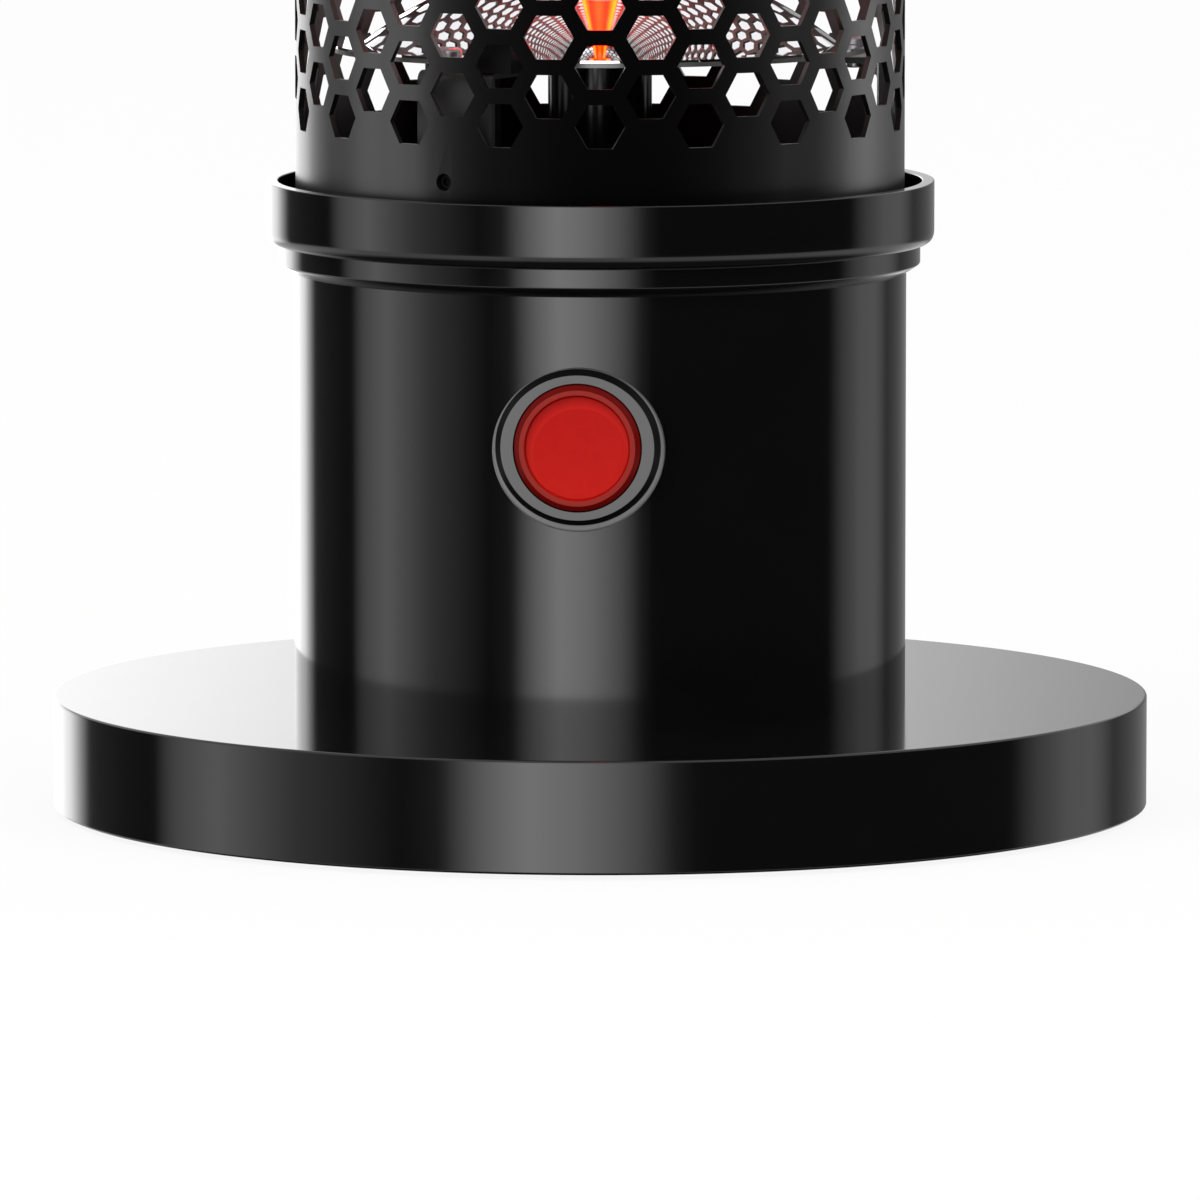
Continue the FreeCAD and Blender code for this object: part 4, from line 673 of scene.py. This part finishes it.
# One cell is a flat hexagon ring, which its neighbours complete to a web
cell = add_node(sheet, "GeometryNodeMeshCircle",
                {"Vertices": 6, "Radius": calc(sheet, "DIVIDE", pitch, math.sqrt(3))}, fill_type="NGON")
inset = add_node(sheet, "GeometryNodeExtrudeMesh",
                 {"Mesh": cell.outputs[0], "Offset Scale": 0.0, "Individual": True}, mode="FACES")
shrunk = add_node(sheet, "GeometryNodeScaleElements",
                  {"Geometry": inset.outputs["Mesh"], "Selection": inset.outputs["Top"],
                   "Scale": calc(sheet, "DIVIDE", given["Hole Flats"], pitch)}, domain="FACE")
web = add_node(sheet, "GeometryNodeDeleteGeometry",
               {"Geometry": shrunk.outputs[0], "Selection": inset.outputs["Top"]}, domain="FACE")

# Cell centres on a flat sheet, with every second column half a pitch higher and one row shorter
grid = add_node(sheet, "GeometryNodeMeshGrid",
                {"Size X": calc(sheet, "SUBTRACT", columns, 1.0), "Size Y": last_row,
                 "Vertices X": columns, "Vertices Y": rows})
half_columns = calc(sheet, "MULTIPLY", calc(sheet, "SUBTRACT", columns, 1.0), 0.5)
column = calc(sheet, "ROUND", calc(sheet, "ADD", spot["X"], half_columns))
row = calc(sheet, "ROUND", calc(sheet, "ADD", spot["Y"], calc(sheet, "MULTIPLY", last_row, 0.5)))
odd = calc(sheet, "MODULO", column, 2.0)
spare = calc(sheet, "MULTIPLY", odd, calc(sheet, "GREATER_THAN", row, calc(sheet, "SUBTRACT", last_row, 0.5)))
staggered = add_node(sheet, "GeometryNodeDeleteGeometry", {"Geometry": grid.outputs[0], "Selection": spare},
                     domain="POINT")
rise = calc(sheet, "MULTIPLY", calc(sheet, "ADD", row, calc(sheet, "MULTIPLY", odd, 0.5)), pitch)
centres = add_node(sheet, "GeometryNodeSetPosition",
                   {"Geometry": staggered.outputs[0],
                    "Position": at(sheet, calc(sheet, "MULTIPLY", column, column_pitch), rise)})
stretch = calc(sheet, "DIVIDE", column_pitch, calc(sheet, "MULTIPLY", pitch, math.sqrt(3) / 2))
field = add_node(sheet, "GeometryNodeRealizeInstances", {0: add_node(
    sheet, "GeometryNodeInstanceOnPoints",
    {"Points": centres.outputs[0], "Instance": web.outputs[0], "Scale": at(sheet, stretch, 1.0, 1.0)}).outputs[0]})


def plain_band(even_end, odd_end, edge, upper):
    """A band without holes, between the zigzag where the cells end and the sheet's straight edge."""
    strip = add_node(sheet, "GeometryNodeMeshGrid",
                     {"Size X": calc(sheet, "MULTIPLY", columns, 2.0), "Size Y": 1.0,
                      "Vertices X": calc(sheet, "ADD", calc(sheet, "MULTIPLY", columns, 2.0), 1.0),
                      "Vertices Y": 2})
    corner = calc(sheet, "ROUND", calc(sheet, "ADD", spot["X"], columns))
    cell_number = calc(sheet, "FLOOR", calc(sheet, "MULTIPLY", corner, 0.5))
    side = calc(sheet, "SUBTRACT", calc(sheet, "MULTIPLY", calc(sheet, "MODULO", corner, 2.0), 2.0), 1.0)
    along = calc(sheet, "MULTIPLY", calc(sheet, "ADD", cell_number, calc(sheet, "DIVIDE", side, 3.0)), column_pitch)
    step = calc(sheet, "MULTIPLY", calc(sheet, "MODULO", cell_number, 2.0),
                calc(sheet, "SUBTRACT", odd_end, even_end))
    zigzag = calc(sheet, "ADD", even_end, step)
    on_edge = calc(sheet, "GREATER_THAN" if upper else "LESS_THAN", spot["Y"], 0.0)
    height = calc(sheet, "ADD", zigzag,
                  calc(sheet, "MULTIPLY", on_edge, calc(sheet, "SUBTRACT", edge, zigzag)))
    return add_node(sheet, "GeometryNodeSetPosition",
                    {"Geometry": strip.outputs[0], "Position": at(sheet, along, height)}).outputs[0]


below_cells = calc(sheet, "MULTIPLY", half_pitch, -1.0)
lower_edge = calc(sheet, "MULTIPLY", given["First Row"], -1.0)
upper_edge = calc(sheet, "ADD", lower_edge, given["Height"])
last_centre = calc(sheet, "MULTIPLY", last_row, pitch)
flat = add_node(sheet, "GeometryNodeJoinGeometry")
sheet.links.new(field.outputs[0], flat.inputs[0])
sheet.links.new(plain_band(below_cells, 0.0, lower_edge, False), flat.inputs[0])
sheet.links.new(plain_band(calc(sheet, "ADD", last_centre, half_pitch), last_centre, upper_edge, True),
                flat.inputs[0])

# The flat sheet is rolled, welded along its seam, and given its wall
fine_sheet = add_node(sheet, "GeometryNodeSubdivideMesh", {"Mesh": flat.outputs[0], "Level": 1})
angle = calc(sheet, "ADD", calc(sheet, "DIVIDE", spot["X"], radius), given["Clock"])
rolled = add_node(sheet, "GeometryNodeSetPosition", {
    "Geometry": fine_sheet.outputs[0],
    "Position": at(sheet, calc(sheet, "MULTIPLY", calc(sheet, "SINE", angle), radius),
                   calc(sheet, "MULTIPLY", calc(sheet, "COSINE", angle), calc(sheet, "MULTIPLY", radius, -1.0)),
                   calc(sheet, "ADD", spot["Y"], calc(sheet, "ADD", given["Bottom"], given["First Row"])))})
welded = add_node(sheet, "GeometryNodeMergeByDistance", {"Geometry": rolled.outputs[0], "Distance": 0.02 * mm})
inner = add_node(sheet, "GeometryNodeExtrudeMesh",
                 {"Mesh": welded.outputs[0], "Offset Scale": calc(sheet, "MULTIPLY", given["Wall"], -1.0),
                  "Individual": False}, mode="FACES")
turned_in = add_node(sheet, "GeometryNodeFlipFaces", {"Mesh": inner.outputs["Mesh"]})
wall = add_node(sheet, "GeometryNodeJoinGeometry")
sheet.links.new(welded.outputs[0], wall.inputs[0])
sheet.links.new(turned_in.outputs[0], wall.inputs[0])
solid = add_node(sheet, "GeometryNodeMergeByDistance", {"Geometry": wall.outputs[0], "Distance": 0.02 * mm})

# Three screw holes near each end
drill = add_node(sheet, "GeometryNodeMeshCylinder",
                 {"Vertices": 32, "Radius": given["Screw Hole"],
                  "Depth": calc(sheet, "MULTIPLY", given["Wall"], 4.0)})
hole_ring = add_node(sheet, "GeometryNodeMeshCircle", {"Vertices": 3, "Radius": radius})
hole_spots = add_node(sheet, "GeometryNodeJoinGeometry")
low_holes = calc(sheet, "ADD", given["Bottom"], given["Screw Rise"])
high_holes = calc(sheet, "SUBTRACT", calc(sheet, "ADD", given["Bottom"], given["Height"]), given["Screw Rise"])
for level in (low_holes, high_holes):
    ring_of_holes = add_node(sheet, "GeometryNodeTransform",
                             {"Geometry": hole_ring.outputs[0], "Translation": at(sheet, 0.0, 0.0, level),
                              "Rotation": at(sheet, 0.0, 0.0, given["Screw Clock"])})
    sheet.links.new(ring_of_holes.outputs[0], hole_spots.inputs[0])
outward = add_node(sheet, "FunctionNodeAlignRotationToVector", {"Vector": at(sheet, spot["X"], spot["Y"])},
                   axis="Z")
drills = add_node(sheet, "GeometryNodeRealizeInstances", {0: add_node(
    sheet, "GeometryNodeInstanceOnPoints",
    {"Points": hole_spots.outputs[0], "Instance": drill.outputs[0], "Rotation": outward.outputs[0]}).outputs[0]})
drilled = add_node(sheet, "GeometryNodeMeshBoolean", {"Mesh 1": solid.outputs[0], "Mesh 2": drills.outputs[0]},
                   operation="DIFFERENCE", solver="EXACT")
smooth = add_node(sheet, "GeometryNodeSetShadeSmooth", {0: drilled.outputs[0]})
painted = add_node(sheet, "GeometryNodeSetMaterial", {0: smooth.outputs[0], "Material": given["Material"]})
add_node(sheet, "NodeGroupOutput", {0: painted.outputs[0]})

stud_rise, stud_length, stud_radius, stud_socket, stud_face = 13.2 * mm, 8, 1.5, 0.8, 59.8
guard = grown("guard_sheet", sheet, columns=38, rows=39, radius=guard_high.x, wall=guard_wall, pitch=11.6 * mm,
              hole_flats=8.55 * mm, first_row=24.65 * mm, bottom=guard_low.z, height=guard_high.z - guard_low.z,
              clock=math.radians(3.95), screw_clock=math.radians(leg_clock), screw_rise=stud_rise,
              screw_hole=1.7 * mm, material=satin_black)
fit(guard, "frame", "black_satin", "guard")

stud = turned("guard_stud", [
    (0, -stud_length, 0), (stud_radius, -stud_length, 0.2), (stud_radius, 0, 0.25), (stud_socket, 0, 0),
    (stud_socket, -1, 0), (0, -1.2, 0)], steps=24)
studs = ring_of("guard_studs", stud, count=legs, circle=stud_face, clock=leg_clock, level=guard_low.z + stud_rise,
                material=cutout_black, tilt=90, middle=(guard_low.z + guard_high.z) / 2)
fit(studs, "frame", "black_satin", "guard_screws")

# Top cap: a closed drum with the collar's steps turned over, spun from steel.
# It has the same gloss enamel and is screwed to the upper deck from inside.
paint(gloss_enamel, "top_cap")

# Floor: a plain pale studio floor that stays white in view and still takes the heater's shadow.
# It doesn't show in reflections, where the studio's own white stands for it.
floor_reach = 12.0
floor_mesh = bpy.data.meshes.new("floor")
floor_mesh.from_pydata([(-floor_reach, -floor_reach, 0), (floor_reach, -floor_reach, 0),
                        (floor_reach, floor_reach, 0), (-floor_reach, floor_reach, 0)], [], [(0, 1, 2, 3)])
floor = bpy.data.objects.new("floor", floor_mesh)
bpy.context.scene.collection.objects.link(floor)
floor_paint = bpy.data.materials.new("floor_paint")
floor_paint.use_nodes = True
tree = floor_paint.node_tree
tree.nodes.clear()
lit = add_node(tree, "ShaderNodeBsdfDiffuse", {"Color": (0.95, 0.95, 0.95, 1)})
white = add_node(tree, "ShaderNodeEmission", {"Color": (1, 1, 1, 1), "Strength": 1.0})
seen = calc(tree, "MULTIPLY", add_node(tree, "ShaderNodeLightPath").outputs["Is Camera Ray"], 0.9)
both = add_node(tree, "ShaderNodeMixShader", {0: seen, 1: lit.outputs[0], 2: white.outputs[0]})
add_node(tree, "ShaderNodeOutputMaterial", {"Surface": both.outputs[0]})
floor_mesh.materials.append(floor_paint)
floor.visible_glossy = False

# Camera: a long lens a little right of the front, looking slightly down at the base and body.
# The picture ends above the guard's lowest rows.
view_turn = math.radians(3.95)
view_distance = 2.411
view_height = 0.3206
aim_height = 0.0417
camera_data = bpy.data.cameras.new("camera")
camera_data.sensor_width = 36.0
camera_data.lens = 362.0
camera_data.clip_end = 50.0
camera = bpy.data.objects.new("camera", camera_data)
camera.location = (view_distance * math.sin(view_turn), -view_distance * math.cos(view_turn), view_height)
aim = Vector((0, 0, aim_height)) - camera.location
camera.rotation_euler = aim.to_track_quat("-Z", "Y").to_euler()
bpy.context.scene.collection.objects.link(camera)
bpy.context.scene.camera = camera

# Studio: white all round in view, an even light from all sides, and upright soft boxes that only show as
# reflections: a key box by the camera, one on each side, and a bright wall behind on the left. Above and below
# them it is plain white, and dark straight below. Each box is given as azimuths from the camera, in degrees.
soft_boxes = ((-180, 1.2), (-177, 2.05), (-170, 2.68), (-148, 2.73), (-136, 0.1), (-107, 0.02), (-100, 0.85),
              (-87, 1.75), (-75, 1.1), (-66, 0.6), (-50, 0.2), (-42, 0.03), (-33, 0.15), (-24, 2.4), (-15, 4.1),
              (-5, 3.3), (7, 1.6), (15, 0.2), (20, 0.01), (96, 0.02), (104, 0.55), (115, 0.88), (126, 0.7),
              (137, 0.15), (146, 0.2), (172, 0.32), (177, 0.48), (180, 1.2))
brightest = max(brightness for degrees, brightness in soft_boxes)
world = bpy.data.worlds.new("studio")
bpy.context.scene.world = world
world.use_nodes = True
world.cycles.sampling_method = "NONE"
tree = world.node_tree
tree.nodes.clear()
facing = add_node(tree, "ShaderNodeTexCoord").outputs["Generated"]
direction = add_node(tree, "ShaderNodeSeparateXYZ", {0: facing})
away = calc(tree, "MULTIPLY", direction.outputs["Y"], -1.0)
azimuth = calc(tree, "SUBTRACT", calc(tree, "ARCTAN2", direction.outputs["X"], away), view_turn)
share = calc(tree, "FRACT", calc(tree, "ADD", calc(tree, "DIVIDE", azimuth, math.tau), 0.5))
boxes = add_node(tree, "ShaderNodeValToRGB", {0: share})
stops = boxes.color_ramp.elements
for place_in_ramp, (degrees, brightness) in enumerate(soft_boxes):
    at_share = (degrees + 180) / 360
    level = brightness / brightest
    if 0 < place_in_ramp < len(soft_boxes) - 1:
        stop = stops.new(at_share)
    else:
        stop = stops[0 if place_in_ramp == 0 else len(stops) - 1]
        stop.position = at_share
    stop.color = (level, level, level, 1)
steepness = calc(tree, "ABSOLUTE", direction.outputs["Z"])
off_level = add_node(tree, "ShaderNodeMapRange", {"Value": steepness, "From Min": 0.17, "From Max": 0.25})
side_light = add_node(tree, "ShaderNodeBackground", {"Color": boxes.outputs[0], "Strength": brightest})
whiteness = add_node(tree, "ShaderNodeMapRange",
                     {"Value": direction.outputs["Z"], "From Min": -0.65, "From Max": -0.4,
                      "To Min": 0.05, "To Max": 1.0}).outputs[0]
plain_white = add_node(tree, "ShaderNodeBackground", {"Color": (1, 1, 1, 1), "Strength": whiteness})
reflected = add_node(tree, "ShaderNodeMixShader",
                     {0: off_level.outputs[0], 1: side_light.outputs[0], 2: plain_white.outputs[0]})
around = add_node(tree, "ShaderNodeBackground", {"Color": (1, 1, 1, 1), "Strength": 0.8})
backdrop = add_node(tree, "ShaderNodeBackground", {"Color": (1, 1, 1, 1), "Strength": 1.0})
path = add_node(tree, "ShaderNodeLightPath").outputs
seen = calc(tree, "MAXIMUM", path["Is Camera Ray"], path["Is Transmission Ray"])
lights = add_node(tree, "ShaderNodeMixShader",
                  {0: path["Is Glossy Ray"], 1: around.outputs[0], 2: reflected.outputs[0]})
whole = add_node(tree, "ShaderNodeMixShader", {0: seen, 1: lights.outputs[0], 2: backdrop.outputs[0]})
add_node(tree, "ShaderNodeOutputWorld", {"Surface": whole.outputs[0]})

lit_point = Vector((0, 0, 0.25))
for name, spot_at, power, across in (("key_light", (-1.3, -1.7, 1.9), 25.0, 1.4),
                                     ("fill_light", (1.6, -1.2, 1.5), 9.0, 1.6)):
    lamp = bpy.data.lights.new(name, "AREA")
    lamp.energy = power
    lamp.size = across
    light = bpy.data.objects.new(name, lamp)
    light.location = spot_at
    light.rotation_euler = (lit_point - light.location).to_track_quat("-Z", "Y").to_euler()
    light.visible_glossy = False
    bpy.context.scene.collection.objects.link(light)

bpy.context.scene.view_settings.view_transform = "Standard"
